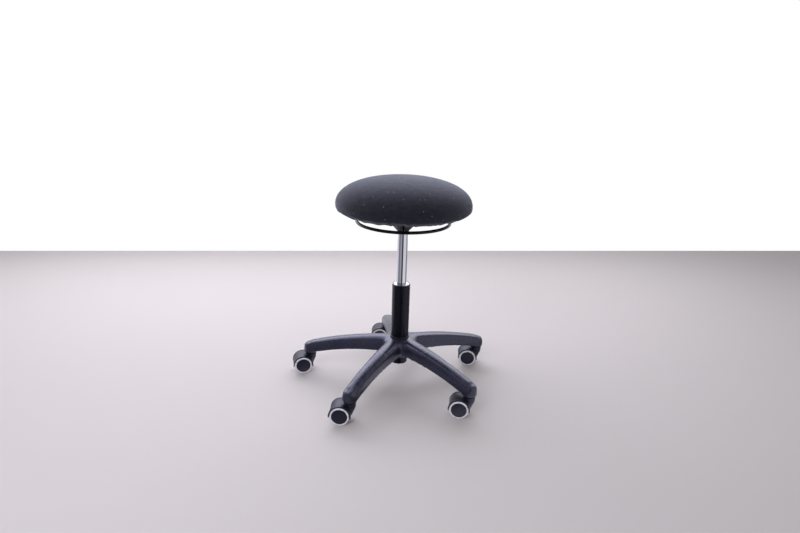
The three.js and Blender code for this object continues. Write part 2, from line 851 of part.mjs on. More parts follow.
function casterHousing() {
  const side = new THREE.Shape();
  side.absarc(0, 0, hoodOuter - hoodEdge, radians(hoodFrontAngle), radians(hoodRearAngle), false);
  side.absarc(0, 0, axleBossRadius - hoodEdge, radians(axleBossFrom), radians(axleBossTo), false);
  const hood = new THREE.ExtrudeGeometry(side, {
    depth: 2 * (hoodHalfWidth - hoodEdge),
    curveSegments: hoodSteps,
    bevelThickness: hoodEdge,
    bevelSize: hoodEdge,
    bevelSegments: 1,
  });
  hood.translate(0, 0, hoodEdge - hoodHalfWidth).rotateX(Math.PI / 2);
  hood.translate(-casterTrail, 0, wheelRadius);
  const straight = postTop - postDrop;
  const taper = Array.from({ length: postSteps + 1 }, (_, i) => {
    const t = i / postSteps;
    return [
      bend(postFootRadius, postRadius, postRadius, t),
      bend(straight - postTaper, straight - postTaper / 2, straight, t),
    ];
  });
  const postOutline = [[0, straight - postTaper], ...taper, [postRadius, postTop], [0, postTop]];
  const post = solid(turned(postOutline, postSides));
  const wells = [1, -1].map((way) => {
    const ends = [way * webHalfWidth, way * (hoodHalfWidth + overrun)].sort((a, b) => a - b);
    return acrossCylinder(hoodInner, ...ends);
  });
  const axleHole = acrossCylinder(axleRadius + fit, -webHalfWidth - overrun, webHalfWidth + overrun);
  const stemHole = solid(upright(
    clearHole(stemRadius, smallSides),
    postTop - stemInPost - fit,
    postTop + overrun,
    smallSides,
  ));
  return skinOf(carved(solid(hood).add(post), [...wells, axleHole, stemHole]));
}

function casterStem() {
  const top = bossBottom + stemInBoss;
  const groove = bossBottom + stemInBoss / 2;
  return turned([
    [0, postTop - stemInPost],
    [stemRadius, postTop - stemInPost],
    [stemRadius, postTop + fit],
    [stemCollarRadius, postTop + fit],
    [stemCollarRadius, postTop + fit + stemCollarHeight],
    [stemRadius, postTop + fit + stemCollarHeight],
    [stemRadius, groove],
    [stemRadius - stemGroove, groove],
    [stemRadius - stemGroove, groove + stemGrooveHeight],
    [stemRadius, groove + stemGrooveHeight],
    [stemRadius, top],
    [0, top],
  ], smallSides);
}

// Assembly
const stool = new THREE.Group();
const base = new THREE.Group();
const lift = new THREE.Group();
const seat = new THREE.Group();
stool.add(base, lift, seat);

place(base, 'star_base', starBase(), nylon);
place(base, 'stand_tube', standTube(), blackEnamel);
place(base, 'tube_collar', tubeCollar(), acetal);
place(base, 'guide_bush', guideBush(), acetal);

place(lift, 'piston_rod', pistonRod(), brightSteel);
place(lift, 'piston_head', pistonHead(), steel);
place(lift, 'thrust_bearing', thrustBearing(), steel);
place(lift, 'rod_clip', rodClip(), zincSteel);
place(lift, 'gas_cylinder', gasCylinder(), chrome);
place(lift, 'cylinder_gland', cylinderGland(), steel);
place(lift, 'valve_button', valveButton(), zincSteel);
place(lift, 'ring_lever', ringLever(), blackEnamel);
place(lift, 'socket_cone', socketCone(), satinBlackSteel);
place(lift, 'retaining_ring', retainingRing(), zincSteel);
place(lift, 'rubber_buffer', rubberBuffer(), rubber);
place(lift, 'ball_liner', ballLiner(), whiteAcetal);

place(seat, 'seat_plate', seatPlate(), satinBlackSteel);
place(seat, 'seat_board', seatBoard(), plywood);
place(seat, 'seat_foam', seatFoam(), foamRubber);
place(seat, 'seat_cover', seatCover(), wool);
place(seat, 'dust_cover', dustCover(), felt);
screwPlaces().forEach((spot, i) => place(seat, `seat_screw_${i + 1}`, seatScrew(spot), zincSteel));

casterNames.forEach((name, i) => {
  const caster = new THREE.Group();
  const angle = radians(legFirstAngle + legTurn * i);
  caster.position.set(legCircleRadius * Math.cos(angle), legCircleRadius * Math.sin(angle), 0);
  caster.rotation.z = radians(casterTurns[i]);
  place(caster, `caster_stem_${name}`, casterStem(), zincSteel);
  place(caster, `caster_housing_${name}`, casterHousing(), blackNylon);
  place(caster, `caster_axle_${name}`, casterAxle(), zincSteel);
  [['near', -1], ['far', 1]].forEach(([label, side]) => {
    place(caster, `wheel_${name}_${label}`, wheelBody(side), blackNylon);
    place(caster, `tyre_${name}_${label}`, tyre(side), greyTyre);
  });
  base.add(caster);
});

// The origin is on the floor under the middle of the whole stool.
const extent = new THREE.Box3().setFromObject(stool, true);
const middle = extent.getCenter(new THREE.Vector3());
stool.position.set(-middle.x, -middle.y, 0);
const part = new THREE.Group();
part.add(stool);

export default part;
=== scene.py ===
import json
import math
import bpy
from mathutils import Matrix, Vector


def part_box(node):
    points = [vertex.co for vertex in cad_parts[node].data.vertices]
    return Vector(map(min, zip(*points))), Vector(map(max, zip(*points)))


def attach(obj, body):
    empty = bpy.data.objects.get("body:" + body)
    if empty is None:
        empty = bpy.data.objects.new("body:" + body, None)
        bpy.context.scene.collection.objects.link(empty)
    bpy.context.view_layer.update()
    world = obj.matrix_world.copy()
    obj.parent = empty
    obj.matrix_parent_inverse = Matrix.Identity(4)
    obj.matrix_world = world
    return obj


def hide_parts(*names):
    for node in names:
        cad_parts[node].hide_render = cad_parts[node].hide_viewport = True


bl_info = {
    "name": "Wobble Stool",
    "version": (1, 0, 0),
    "blender": (4, 5, 0),
    "location": "View3D > Sidebar > Stool",
    "description": "Dresses a rolling wobble stool in fine shapes and real finishes",
    "category": "Object",
}

import bmesh
import bpy
from bpy.props import FloatProperty, FloatVectorProperty, IntProperty, PointerProperty
from bpy.types import Operator, Panel, PropertyGroup
from mathutils import Matrix, Vector, noise

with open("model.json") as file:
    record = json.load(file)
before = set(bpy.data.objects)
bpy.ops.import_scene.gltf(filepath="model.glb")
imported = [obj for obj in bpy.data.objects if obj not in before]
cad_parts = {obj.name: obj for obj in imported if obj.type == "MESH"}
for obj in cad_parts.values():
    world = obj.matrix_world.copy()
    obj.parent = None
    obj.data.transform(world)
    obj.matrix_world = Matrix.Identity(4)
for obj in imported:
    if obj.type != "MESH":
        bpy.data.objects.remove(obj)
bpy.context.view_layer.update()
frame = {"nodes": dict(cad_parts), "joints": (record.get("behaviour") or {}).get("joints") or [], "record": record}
JOINTS = {joint["name"]: joint for joint in frame["joints"]}
SLOT_OF = {part["node"]: part["material_slot"] for part in frame["record"]["subparts"]}
BODY_OF = {
    node: body
    for body, nodes in frame["record"]["behaviour"]["bodies"].items()
    for node in nodes
}
CASTERS = [name.removeprefix("caster_swivel_") for name in JOINTS if name.startswith("caster_swivel_")]
BALL = Vector(JOINTS["tilt_x"]["pos_m"])
COLUMN = Matrix.Translation((BALL.x, BALL.y, 0))


def low(node):
    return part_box(node)[0].z


def high(node):
    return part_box(node)[1].z


def radius_of(node):
    return (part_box(node)[1].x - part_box(node)[0].x) / 2


def linear(code):
    """The linear colour of an sRGB hex value."""
    parts = [int(code[i : i + 2], 16) / 255 for i in (1, 3, 5)]
    return tuple(p / 12.92 if p <= 0.04045 else ((p + 0.055) / 1.055) ** 2.4 for p in parts)


def number(name, description, default, **unit):
    return FloatProperty(name=name, description=description, default=default, **unit)


def length(name, description, default):
    return number(name, description, default, unit="LENGTH", precision=4)


def integer(name, description, default):
    return IntProperty(name=name, description=description, default=default)


def colour(name, description, code):
    return FloatVectorProperty(name=name, description=description, default=linear(code), subtype="COLOR")


# ---- Sizes and colours that a user would change


class StoolBase(PropertyGroup):
    """Sizes of the five-legged base."""

    leg_root: length("Leg root", "Distance from the axis at which a leg's curve starts", 0.030)
    leg_bend: length("Leg bend", "Distance from the axis at which a leg turns towards the floor", 0.150)
    leg_half_width: length("Leg half width", "Half the width of a leg", 0.0188)
    root_half_width: length("Root half width", "Half the width of a leg at the hub", 0.0275)
    leg_shoulder: length("Leg shoulder", "Rounding along the top edges of a leg", 0.0105)
    leg_draft: length("Leg draft", "How much wider a leg is at its foot, each side", 0.0022)
    leg_crown: length("Leg crown", "Rise of a leg's top between its shoulders", 0.0022)
    leg_wall: length("Leg wall", "Wall of the hollow leg", 0.0035)
    boss_radius: length("Boss radius", "Radius of the boss over a caster", 0.0196)
    boss_height: length("Boss height", "Height of the boss over a caster", 0.0305)
    boss_edge: length("Boss edge", "Rounding of the boss's top edge", 0.0115)
    hub_radius: length("Hub radius", "Radius of the hub between the legs", 0.049)
    hub_depth: length("Hub depth", "Depth of the hub below its top", 0.044)
    sleeve_wall: length("Sleeve wall", "Wall of the hub's sleeve round the tube", 0.0035)
    voxel: length("Mesh size", "Edge length of the moulding's mesh", 0.0019)
    hub_passes: integer("Hub rounding", "Rounding steps where the legs meet", 66)
    boss_passes: integer("Boss rounding", "Rounding steps at the leg ends", 16)
    leg_passes: integer("Leg rounding", "Rounding steps along the legs", 12)


class StoolCasters(PropertyGroup):
    """Sizes of the twin-wheel casters."""

    wheel_radius: length("Wheel radius", "Radius over the tread", 0.025)
    tread_depth: length("Tread depth", "Thickness of the soft tread", 0.0044)
    tread_shoulder: length("Tread shoulder", "Rounding of the tread's outer edge", 0.0026)
    inner_face: length("Inner face", "From the caster's middle to a wheel's inner face", 0.0076)
    tread_width: length("Tread width", "Width of one tread", 0.0176)
    cap_dome: length("Cap dome", "Rise of the wheel's outer face", 0.0011)
    trail: length("Trail", "From the stem to the wheel axle", 0.024)
    hood_radius: length("Hood radius", "Outer radius of the hood at its rims", 0.0292)
    hood_wall: length("Hood wall", "Thickness of the hood at its rims", 0.0031)
    hood_dip: length("Hood dip", "How much lower the hood is between its rims", 0.0011)
    hood_lip: length("Hood lip", "Width of the lip along each rim", 0.0022)
    hood_half_width: length("Hood half width", "Half the width of the hood", 0.025)
    web_half_width: length("Web half width", "Half the width of the web between the wheels", 0.007)
    post_radius: length("Post radius", "Radius of the post round the stem", 0.0165)


class StoolColumn(PropertyGroup):
    """Sizes of the tube, the gas spring and the ring lever."""

    tube_radius: length("Tube radius", "Outer radius of the stand tube", 0.025)
    tube_wall: length("Tube wall", "Wall of the stand tube", 0.002)
    tube_rim: length("Tube rim", "Roll of the tube's upper edge", 0.0005)
    crimp_radius: length("Crimp radius", "Radius of the punch that crimps the tube on its bush", 0.0035)
    crimp_depth: length("Crimp depth", "Depth of a crimp", 0.0007)
    cylinder_radius: length("Cylinder radius", "Radius of the gas spring's cylinder", 0.014)
    ring_radius: length("Ring radius", "Radius of the ring lever at the middle of its rod", 0.1257)
    ring_rod: length("Ring rod", "Radius of the ring's rod", 0.0042)
    arm_rod: length("Arm rod", "Radius of the rods under the seat", 0.003)
    socket_rim: length("Socket rim", "Radius of the socket's upper rim", 0.048)
    socket_waist: length("Socket waist", "Radius where the cone turns outwards", 0.027)


class StoolSeat(PropertyGroup):
    """Sizes of the cushion and what carries it."""

    radius: length("Seat radius", "Radius of the cushion at its widest", 0.1824)
    hem_radius: length("Hem radius", "Radius of the cover's lower edge", 0.163)
    hem_turn: length("Turned hem", "Width of the cover turned under the board", 0.013)
    hem_round: length("Hem rounding", "Rounding of the cover's lower edge", 0.0035)
    widest: length("Widest line", "Height of the widest line above the hem", 0.017)
    upper_power: number("Upper power", "Squareness of the dome", 2.26)
    lower_power: number("Lower power", "Squareness below the widest line", 4.3)
    hem_drop: length("Hem drop", "How far the padded edge hangs below the board's cover", 0.0052)
    side_slack: length("Side slack", "How far the cover's side starts inside the CAD radius", -0.001)
    top_slack: length("Top slack", "How far the cover's top starts below the CAD top", 0.0042)
    cap: length("Cap", "The most that the cover may swell", 0.0045)
    ripple: length("Hem ripple", "Waves in the hem between its staples", 0.0027)
    board_radius: length("Board radius", "Radius of the plywood board", 0.158)
    plate_radius: length("Plate radius", "Radius of the steel plate", 0.088)
    thread: length("Thread spacing", "Spacing of the cover's threads, drawn coarse", 0.0022)
    cells: integer("Cells", "Cells across the cover before it is subdivided", 112)
    staples: integer("Staples", "Staples round the hem", 34)


class StoolFinishes(PropertyGroup):
    """Colours of the finishes."""

    base_nylon: colour("Base nylon", "Glass-filled nylon of the base", "#272834")
    caster_nylon: colour("Caster nylon", "Black nylon of the housings and wheels", "#0d0d13")
    grey_tread: colour("Tread", "Soft grey tread", "#f6f4fa")
    tube_enamel: colour("Enamel", "Stove enamel of the tube and ring", "#0a0a0e")
    socket_enamel: colour("Powder coat", "Powder coat of the socket and plate", "#08090d")
    bush_acetal: colour("Black acetal", "Turned acetal of the bush and collar", "#1c1d21")
    liner_acetal: colour("Natural acetal", "Natural acetal of the ball's liner", "#dedcd4")
    chrome: colour("Chrome", "Chrome plate of the gas spring", "#d9dae0")
    rod_steel: colour("Ground steel", "Ground steel of the rod", "#c3c5c8")
    zinc_steel: colour("Zinc plate", "Zinc plate of the screws and stems", "#a9acae")
    buffer_rubber: colour("Rubber", "Moulded rubber of the buffer", "#1c1c1d")
    seat_wool: colour("Wool", "Woven wool of the cover", "#1e1e28")
    board_ply: colour("Birch", "Face of the birch plywood", "#b98f5e")
    dust_felt: colour("Felt", "Felt under the board", "#1d1d1f")
    lint: colour("Lint", "Lint on the cover", "#8b8d97")
    grime: colour("Grime", "Dirt on the treads", "#8c8886")


class StoolStage(PropertyGroup):
    """Floor, backdrop, light and camera."""

    floor: colour("Floor", "Plain pale floor", "#ccc6c1")
    wall: colour("Backdrop", "White backdrop", "#f4f4f6")
    wall_distance: length("Backdrop distance", "From the stool to the backdrop", 1.317)
    wall_turn: number("Backdrop turn", "Turn of the backdrop", math.radians(6.5), subtype="ANGLE")
    sky: number("Sky", "Strength of the even light", 0.45)
    wash: number("Wash", "Power of the lamp by the backdrop", 44.0, unit="POWER")
    key: number("Key", "Power of the lamp overhead", 15.0, unit="POWER")
    fill: number("Fill", "Power of the lamp beside the camera", 16.0, unit="POWER")
    camera_height: length("Camera height", "Height of the camera over the floor", 0.8624)
    camera_distance: length("Camera distance", "From the origin to the camera along Y", 1.6155)
    camera_side: length("Camera side", "Camera's place along X", 0.0271)
    camera_pitch: number("Pitch", "Camera's tilt below level", math.radians(17.86), subtype="ANGLE")
    camera_roll: number("Roll", "Camera's roll", math.radians(1.84), subtype="ANGLE")
    lens: number("Lens", "Focal length in millimetres", 27.37)


# ---- Finishes

# Dark plastics and paints reflect the studio a little cooler than it is
COOL = (*linear("#dcdcff"), 1)


def add(tree, kind, inputs=(), **settings):
    """A new shader node. inputs pairs a socket with a value or with the output that feeds it."""
    made = tree.nodes.new("ShaderNode" + kind)
    for name, value in settings.items():
        setattr(made, name, value)
    for socket, value in dict(inputs).items():
        if isinstance(value, bpy.types.NodeSocket):
            tree.links.new(value, made.inputs[socket])
        else:
            made.inputs[socket].default_value = value
    return made


class Finish:
    """A material with one shader. Its patterns lie in the object's coordinates unless a point is given."""

    def __init__(self, name, tone, roughness, **sockets):
        self.material = bpy.data.materials.new(name)
        self.material.use_nodes = True
        self.material.diffuse_color = (*tone, 1)
        self.tree = self.material.node_tree
        self.shader = self.tree.nodes["Principled BSDF"]
        self.tone = tone
        self.point = add(self.tree, "TexCoord").outputs["Object"]
        for socket, value in {"Base Color": (*tone, 1), "Roughness": roughness, **sockets}.items():
            self.shader.inputs[socket.replace("_", " ")].default_value = value

    def patches(self, size, tints, spread=(0.35, 0.65), detail=3.0, point=None):
        """Soft patches about size metres across. A tint is a factor of the tone, or a colour."""
        inputs = {"Vector": point or self.point, "Scale": 1 / size, "Detail": detail}
        ramp = add(self.tree, "ValToRGB", {"Fac": add(self.tree, "TexNoise", inputs).outputs["Fac"]})
        for stop, place, tint in zip(ramp.color_ramp.elements, spread, tints):
            stop.position = place
            stop.color = tint if isinstance(tint, tuple) else self.tinted(tint)
        return ramp.outputs["Color"]

    def tinted(self, factor):
        return (*(min(1.0, part * factor) for part in self.tone), 1)

    def grain(self, size, depth, before=None, detail=2.0, point=None):
        """A bumpy grain about size metres across and depth metres deep, as a Normal."""
        inputs = {"Vector": point or self.point, "Scale": 1 / size, "Detail": detail}
        bump = {"Height": add(self.tree, "TexNoise", inputs).outputs["Fac"], "Distance": depth, "Strength": 1.0}
        if before:
            bump["Normal"] = before
        return add(self.tree, "Bump", bump).outputs["Normal"]

    def dulled(self, size, least, most, point=None):
        """Roughness that drifts between two values in patches about size metres across."""
        inputs = {"Vector": point or self.point, "Scale": 1 / size, "Detail": 3.0}
        span = {"From Min": 0.3, "From Max": 0.7, "To Min": least, "To Max": most}
        span["Value"] = add(self.tree, "TexNoise", inputs).outputs["Fac"]
        return add(self.tree, "MapRange", span).outputs["Result"]

    def linked(self, tone=None, roughness=None, normal=None):
        """The material, with those outputs linked to its shader."""
        for socket, output in (("Base Color", tone), ("Roughness", roughness), ("Normal", normal)):
            if output:
                self.tree.links.new(output, self.shader.inputs[socket])
        return self.material


def moulded_nylon(tone):
    # Glass-filled nylon, injection moulded: satin, faintly mottled by the fibres, with a fine spark-eroded grain
    made = Finish("Glass-filled nylon, moulded", tone, 0.4, IOR=1.6, Specular_Tint=COOL)
    fine = made.grain(0.0009, 0.00002, made.grain(0.014, 0.0001))
    return made.linked(made.patches(0.035, (0.86, 1.14)), made.dulled(0.02, 0.24, 0.34), fine)


def smooth_nylon(tone):
    # Unfilled black nylon from a polished mould: smoother and deeper than the base, rubbed dull in places
    made = Finish("Black nylon, moulded", tone, 0.44, IOR=1.53, Specular_IOR_Level=0.6, Specular_Tint=COOL)
    return made.linked(
        made.patches(0.009, (0.85, 1.25)), made.dulled(0.006, 0.38, 0.54), made.grain(0.0008, 0.00004)
    )


def soft_tread(tone):
    # Cast polyurethane: pale and matt, with floor dirt rubbed into its surface
    made = Finish("Grey polyurethane, cast", tone, 0.5, IOR=1.5)
    grime = (*bpy.context.scene.stool_finishes.grime, 1)
    dirt = made.patches(0.005, (1.0, grime), (0.52, 0.78), 4.0)
    return made.linked(dirt, made.dulled(0.004, 0.45, 0.65), made.grain(0.0012, 0.00005))


def stove_enamel(tone):
    # Sprayed and baked enamel on steel: glossy, with the faint waves of a sprayed coat and a little dust in it
    made = Finish("Black enamel, stoved", tone, 0.26, IOR=1.5, Specular_IOR_Level=0.27, Specular_Tint=COOL)
    return made.linked(made.patches(0.015, (0.9, 1.2)), made.dulled(0.01, 0.22, 0.34), made.grain(0.004, 0.00001))


def powder_coat(tone):
    # Powder coat on pressed steel: satin, with a fine orange peel
    made = Finish("Black powder coat", tone, 0.5, IOR=1.5, Specular_IOR_Level=0.25, Specular_Tint=COOL)
    peel = made.grain(0.0012, 0.00012)
    return made.linked(made.patches(0.01, (0.9, 1.2)), made.dulled(0.008, 0.38, 0.52), peel)


def turned_acetal(name, tone, roughness):
    # Turned acetal: waxy, with tool marks that run round the axis, drawn at about 0.8 mm
    made = Finish(name, tone, roughness, IOR=1.48)
    turns = {"Vector": made.point, "Scale": 1 / 0.0008 / 20, "Distortion": 1.0}
    marks = add(made.tree, "TexWave", turns, wave_type="BANDS", bands_direction="Z")
    bump = add(made.tree, "Bump", {"Height": marks.outputs["Fac"], "Distance": 0.00003, "Strength": 1.0})
    dull = made.dulled(0.005, roughness - 0.06, roughness + 0.1)
    return made.linked(made.patches(0.006, (0.92, 1.15)), dull, bump.outputs["Normal"])


def black_acetal(tone):
    return turned_acetal("Black acetal, turned", tone, 0.3)


def natural_acetal(tone):
    return turned_acetal("Natural acetal, turned", tone, 0.4)


def chrome_plate(tone):
    # Hard chrome on a ground cylinder: a mirror with a thin film of grease that dulls it in streaks
    made = Finish("Hard chrome, polished", tone, 0.08, Metallic=1.0)
    film = add(made.tree, "Mapping", {"Vector": made.point, "Scale": (1.0, 1.0, 0.15)}).outputs["Vector"]
    return made.linked(made.patches(0.006, (0.93, 1.0), point=film), made.dulled(0.004, 0.05, 0.13, film))


def ground_steel(tone):
    # Centreless-ground steel: bright, with marks round the axis
    made = Finish("Bright steel, ground", tone, 0.25, Metallic=1.0)
    marks = add(made.tree, "Mapping", {"Vector": made.point, "Scale": (0.1, 0.1, 1.0)}).outputs["Vector"]
    return made.linked(made.patches(0.005, (0.85, 1.0)), made.dulled(0.0006, 0.18, 0.34, marks))


def zinc_plate(tone):
    # Zinc plate: a soft bluish metal with the spangle of the bath, a little dulled
    made = Finish("Zinc-plated steel", tone, 0.38, Metallic=1.0)
    spangle = add(made.tree, "TexVoronoi", {"Vector": made.point, "Scale": 1 / 0.0025})
    ramp = add(made.tree, "ValToRGB", {"Fac": spangle.outputs["Color"]})
    for stop, tint in zip(ramp.color_ramp.elements, (0.82, 1.05)):
        stop.color = made.tinted(tint)
    return made.linked(ramp.outputs["Color"], made.dulled(0.003, 0.3, 0.48))


def moulded_rubber(tone):
    # Moulded rubber: matt, with a greyish bloom
    made = Finish("Black rubber, moulded", tone, 0.8, IOR=1.52)
    return made.linked(made.patches(0.004, (0.9, 1.7)), normal=made.grain(0.0007, 0.00008))


def woven_wool(tone):
    # Woven wool: no gloss, a pale nap at grazing angles, plain weave, uneven dye and lint on the pile.
    # The real threads are about 0.8 mm apart, and are drawn coarser so that they show.
    nap = (*linear("#b9bccb"), 1)
    made = Finish(
        "Charcoal wool, plain weave", tone, 0.95, IOR=1.45, Sheen_Weight=0.55, Sheen_Roughness=0.45, Sheen_Tint=nap
    )
    tree = made.tree
    cloth = add(tree, "UVMap", uv_map="cloth").outputs["UV"]
    spacing = bpy.context.scene.stool_seat.thread
    turned = add(tree, "Mapping", {"Vector": cloth, "Rotation": (0, 0, math.radians(4))}).outputs["Vector"]
    fuzz = add(tree, "TexNoise", {"Vector": turned, "Scale": 1 / (3 * spacing), "Detail": 4.0})
    # A wave's period is 2 pi over 20 times its scale
    yarns = {"Vector": turned, "Scale": 2 * math.pi / 20 / (2 * spacing)}
    yarns |= {"Distortion": 0.6, "Detail": 2.0, "Detail Scale": 3.0}
    warp, weft = (
        add(tree, "TexWave", yarns, wave_type="BANDS", bands_direction=way).outputs["Fac"] for way in "XY"
    )
    over = add(tree, "Math", {0: warp, 1: weft}, operation="SUBTRACT")
    weave = add(tree, "Math", {0: over.outputs[0]}, operation="ABSOLUTE")
    rough = add(tree, "Math", {0: fuzz.outputs["Fac"], 1: 1.2, 2: weave.outputs[0]}, operation="MULTIPLY_ADD")
    bump = add(tree, "Bump", {"Height": rough.outputs[0], "Distance": 0.0004, "Strength": 0.8})
    lumps = made.grain(0.02, 0.0008, bump.outputs["Normal"], 3.0, cloth)
    streaks = add(tree, "Mapping", {"Vector": cloth, "Scale": (0.5, 1.0, 1.0)}).outputs["Vector"]
    dye = made.patches(0.009, (0.6, 1.5), (0.3, 0.7), 6.0, streaks)
    dips = made.patches(0.5 * spacing, ((0.6, 0.6, 0.6, 1), (1.0, 1.0, 1.0, 1)), (0.35, 0.6), point=turned)
    threads = add(tree, "VectorMath", {0: dye, 1: dips}, operation="MULTIPLY")
    # Each cell may hold one speck of lint about 2 mm across
    cells = add(tree, "TexVoronoi", {"Vector": cloth, "Scale": 1 / 0.013}, voronoi_dimensions="2D")
    near = {"Value": cells.outputs["Distance"], "From Min": 0.1, "From Max": 0.04}
    chosen = add(tree, "SeparateXYZ", {0: cells.outputs["Color"]})
    rare = add(tree, "Math", {0: chosen.outputs["X"], 1: 0.9}, operation="GREATER_THAN")
    both = {0: add(tree, "MapRange", near).outputs["Result"], 1: rare.outputs[0]}
    lint = add(tree, "Math", both, operation="MULTIPLY")
    pale = (*bpy.context.scene.stool_finishes.lint, 1)
    flecked = add(tree, "MixRGB", {"Fac": lint.outputs[0], "Color1": threads.outputs[0], "Color2": pale})
    return made.linked(flecked.outputs["Color"], normal=lumps)


def birch_ply(tone):
    # Sanded birch plywood: fine straight grain on the face
    made = Finish("Birch plywood, sanded", tone, 0.6)
    along = add(made.tree, "Mapping", {"Vector": made.point, "Scale": (0.08, 1.0, 1.0)}).outputs["Vector"]
    pores = made.grain(0.0008, 0.00008, point=along)
    return made.linked(made.patches(0.002, (0.75, 1.15), point=along), normal=pores)


def needled_felt(tone):
    # Needled felt: matt black, hairy, with loose pale fibres
    made = Finish("Black felt, needled", tone, 1.0, Sheen_Weight=0.3, Sheen_Roughness=0.5)
    fibres = made.patches(0.0016, (0.7, 2.2), (0.4, 0.75), 5.0)
    return made.linked(fibres, normal=made.grain(0.0012, 0.0005, detail=5.0))


FINISHES = {
    "base_nylon": moulded_nylon,
    "caster_nylon": smooth_nylon,
    "grey_tread": soft_tread,
    "tube_enamel": stove_enamel,
    "socket_enamel": powder_coat,
    "bush_acetal": black_acetal,
    "liner_acetal": natural_acetal,
    "chrome": chrome_plate,
    "rod_steel": ground_steel,
    "zinc_steel": zinc_plate,
    "buffer_rubber": moulded_rubber,
    "seat_wool": woven_wool,
    "board_ply": birch_ply,
    "dust_felt": needled_felt,
}
made_finishes = {}


def finish_of(slot):
    """The material of one of the record's slots, made when it is first asked for."""
    if slot not in made_finishes:
        made_finishes[slot] = FINISHES[slot](tuple(getattr(bpy.context.scene.stool_finishes, slot)))
    return made_finishes[slot]


# ---- Shapes


def rounded(outline, closed=False, chords=6):
    """An outline of (across, up) or (across, up, rounding) corners, with the roundings drawn as chords."""
    points = []
    last = len(outline) - 1
    for i, corner in enumerate(outline):
        here = Vector(corner[:2])
        if len(corner) < 3 or (not closed and i in (0, last)):
            points.append(here)
            continue
        before = (Vector(outline[i - 1][:2]) - here).normalized()
        after = (Vector(outline[(i + 1) % len(outline)][:2]) - here).normalized()
        half = before.angle(after) / 2
        centre = here + (before + after).normalized() * corner[2] / math.sin(half)
        reach = corner[2] / math.tan(half)
        start = here + before * reach - centre
        end = here + after * reach - centre
        turn = math.atan2(start.x * end.y - start.y * end.x, start.dot(end))
        for step in range(chords + 1):
            angle = turn * step / chords
            points.append(centre + Matrix.Rotation(angle, 2) @ start)
    return points


def tidy(bm):
    bmesh.ops.remove_doubles(bm, verts=bm.verts, dist=1e-6)
    bmesh.ops.recalc_face_normals(bm, faces=bm.faces)
    return bm


def spun(outline, closed=False, sides=96, chords=6, start=0.0, sweep=2 * math.pi):
    """An outline in the XZ plane turned about Z. A part turn is closed at both ends."""
    bm = bmesh.new()
    verts = [bm.verts.new((x, 0, z)) for x, z in rounded(outline, closed, chords)]
    edges = [bm.edges.new(pair) for pair in zip(verts, verts[1:])]
    if closed:
        edges.append(bm.edges.new((verts[-1], verts[0])))
    whole = sweep > 2 * math.pi - 1e-6
    ends = [] if whole else [bm.faces.new(verts)]
    bmesh.ops.rotate(bm, verts=bm.verts, matrix=Matrix.Rotation(start, 3, "Z"))
    bmesh.ops.spin(
        bm,
        geom=ends or verts + edges,
        cent=(0, 0, 0),
        axis=(0, 0, 1),
        angle=sweep,
        steps=sides,
        use_merge=whole,
    )
    if not whole and ends[0].is_valid:
        loose = [f for f in bm.faces if len(f.verts) == len(verts)]
        if len(loose) < 2:
            bm.faces.new([v for v in ends[0].verts])
    return tidy(bm)


def swept(around, along, place):
    """A closed tube from a grid. place(turn, share) gives its point, each running from 0 to 1."""
    bm = bmesh.new()
    bmesh.ops.create_grid(bm, x_segments=around, y_segments=along, size=0.5)
    for v in bm.verts:
        v.co = place(v.co.x + 0.5, v.co.y + 0.5)
    bmesh.ops.remove_doubles(bm, verts=bm.verts, dist=1e-6)
    bmesh.ops.holes_fill(bm, edges=[e for e in bm.edges if e.is_boundary], sides=0)
    return tidy(bm)


def moved(bm, matrix):
    bmesh.ops.transform(bm, matrix=matrix, verts=bm.verts)
    if matrix.determinant() < 0:
        bmesh.ops.reverse_faces(bm, faces=bm.faces)
    return bm


def together(*parts):
    """One bmesh of several, which are freed."""
    whole = bmesh.new()
    for part in parts:
        mesh = bpy.data.meshes.new("part")
        part.to_mesh(mesh)
        part.free()
        whole.from_mesh(mesh)
        bpy.data.meshes.remove(mesh)
    return whole


def copies(bm, matrices):
    """One bmesh of bm's copies at each matrix."""
    return together(*(moved(bm.copy(), matrix) for matrix in matrices))


def loose(name, bm):
    """A plain object of a bmesh, to carry a modifier."""
    mesh = bpy.data.meshes.new(name)
    bm.to_mesh(mesh)
    bm.free()
    made = bpy.data.objects.new(name, mesh)
    bpy.context.scene.collection.objects.link(made)
    return made


def settled(rough):
    """A bmesh of an object with its modifiers applied. The object goes."""
    bm = bmesh.new()
    bm.from_object(rough, bpy.context.evaluated_depsgraph_get())
    mesh = rough.data
    bpy.data.objects.remove(rough)
    bpy.data.meshes.remove(mesh)
    return bm


def fused(bm, voxel, passes):
    """One skin round overlapping closed shells, its corners rounded as in a moulding."""
    rough = loose("fused", bm)
    skin = rough.modifiers.new("skin", "REMESH")
    skin.mode = "VOXEL"
    skin.voxel_size = voxel
    bm = settled(rough)
    smoothed(bm, bm.verts, passes)
    return bm


def smoothed(bm, verts, passes):
    for _ in range(passes):
        bmesh.ops.smooth_vert(bm, verts=verts, factor=0.5, use_axis_x=True, use_axis_y=True, use_axis_z=True)


def carved(bm, cutters):
    """bm less the closed bodies in cutters, which may overlap."""
    body = loose("body", bm)
    tool = loose("tool", cutters)
    carve = body.modifiers.new("carve", "BOOLEAN")
    carve.operation = "DIFFERENCE"
    carve.solver = "EXACT"
    carve.use_self = True
    carve.object = tool
    bm = settled(body)
    mesh = tool.data
    bpy.data.objects.remove(tool)
    bpy.data.meshes.remove(mesh)
    return bm


def smooth(bm, crease=35):
    """bm shaded smooth, but for edges sharper than crease degrees."""
    for face in bm.faces:
        face.smooth = True
        face.material_index = 0
    for edge in bm.edges:
        edge.smooth = len(edge.link_faces) == 2 and edge.calc_face_angle(0) < math.radians(crease)
    return bm


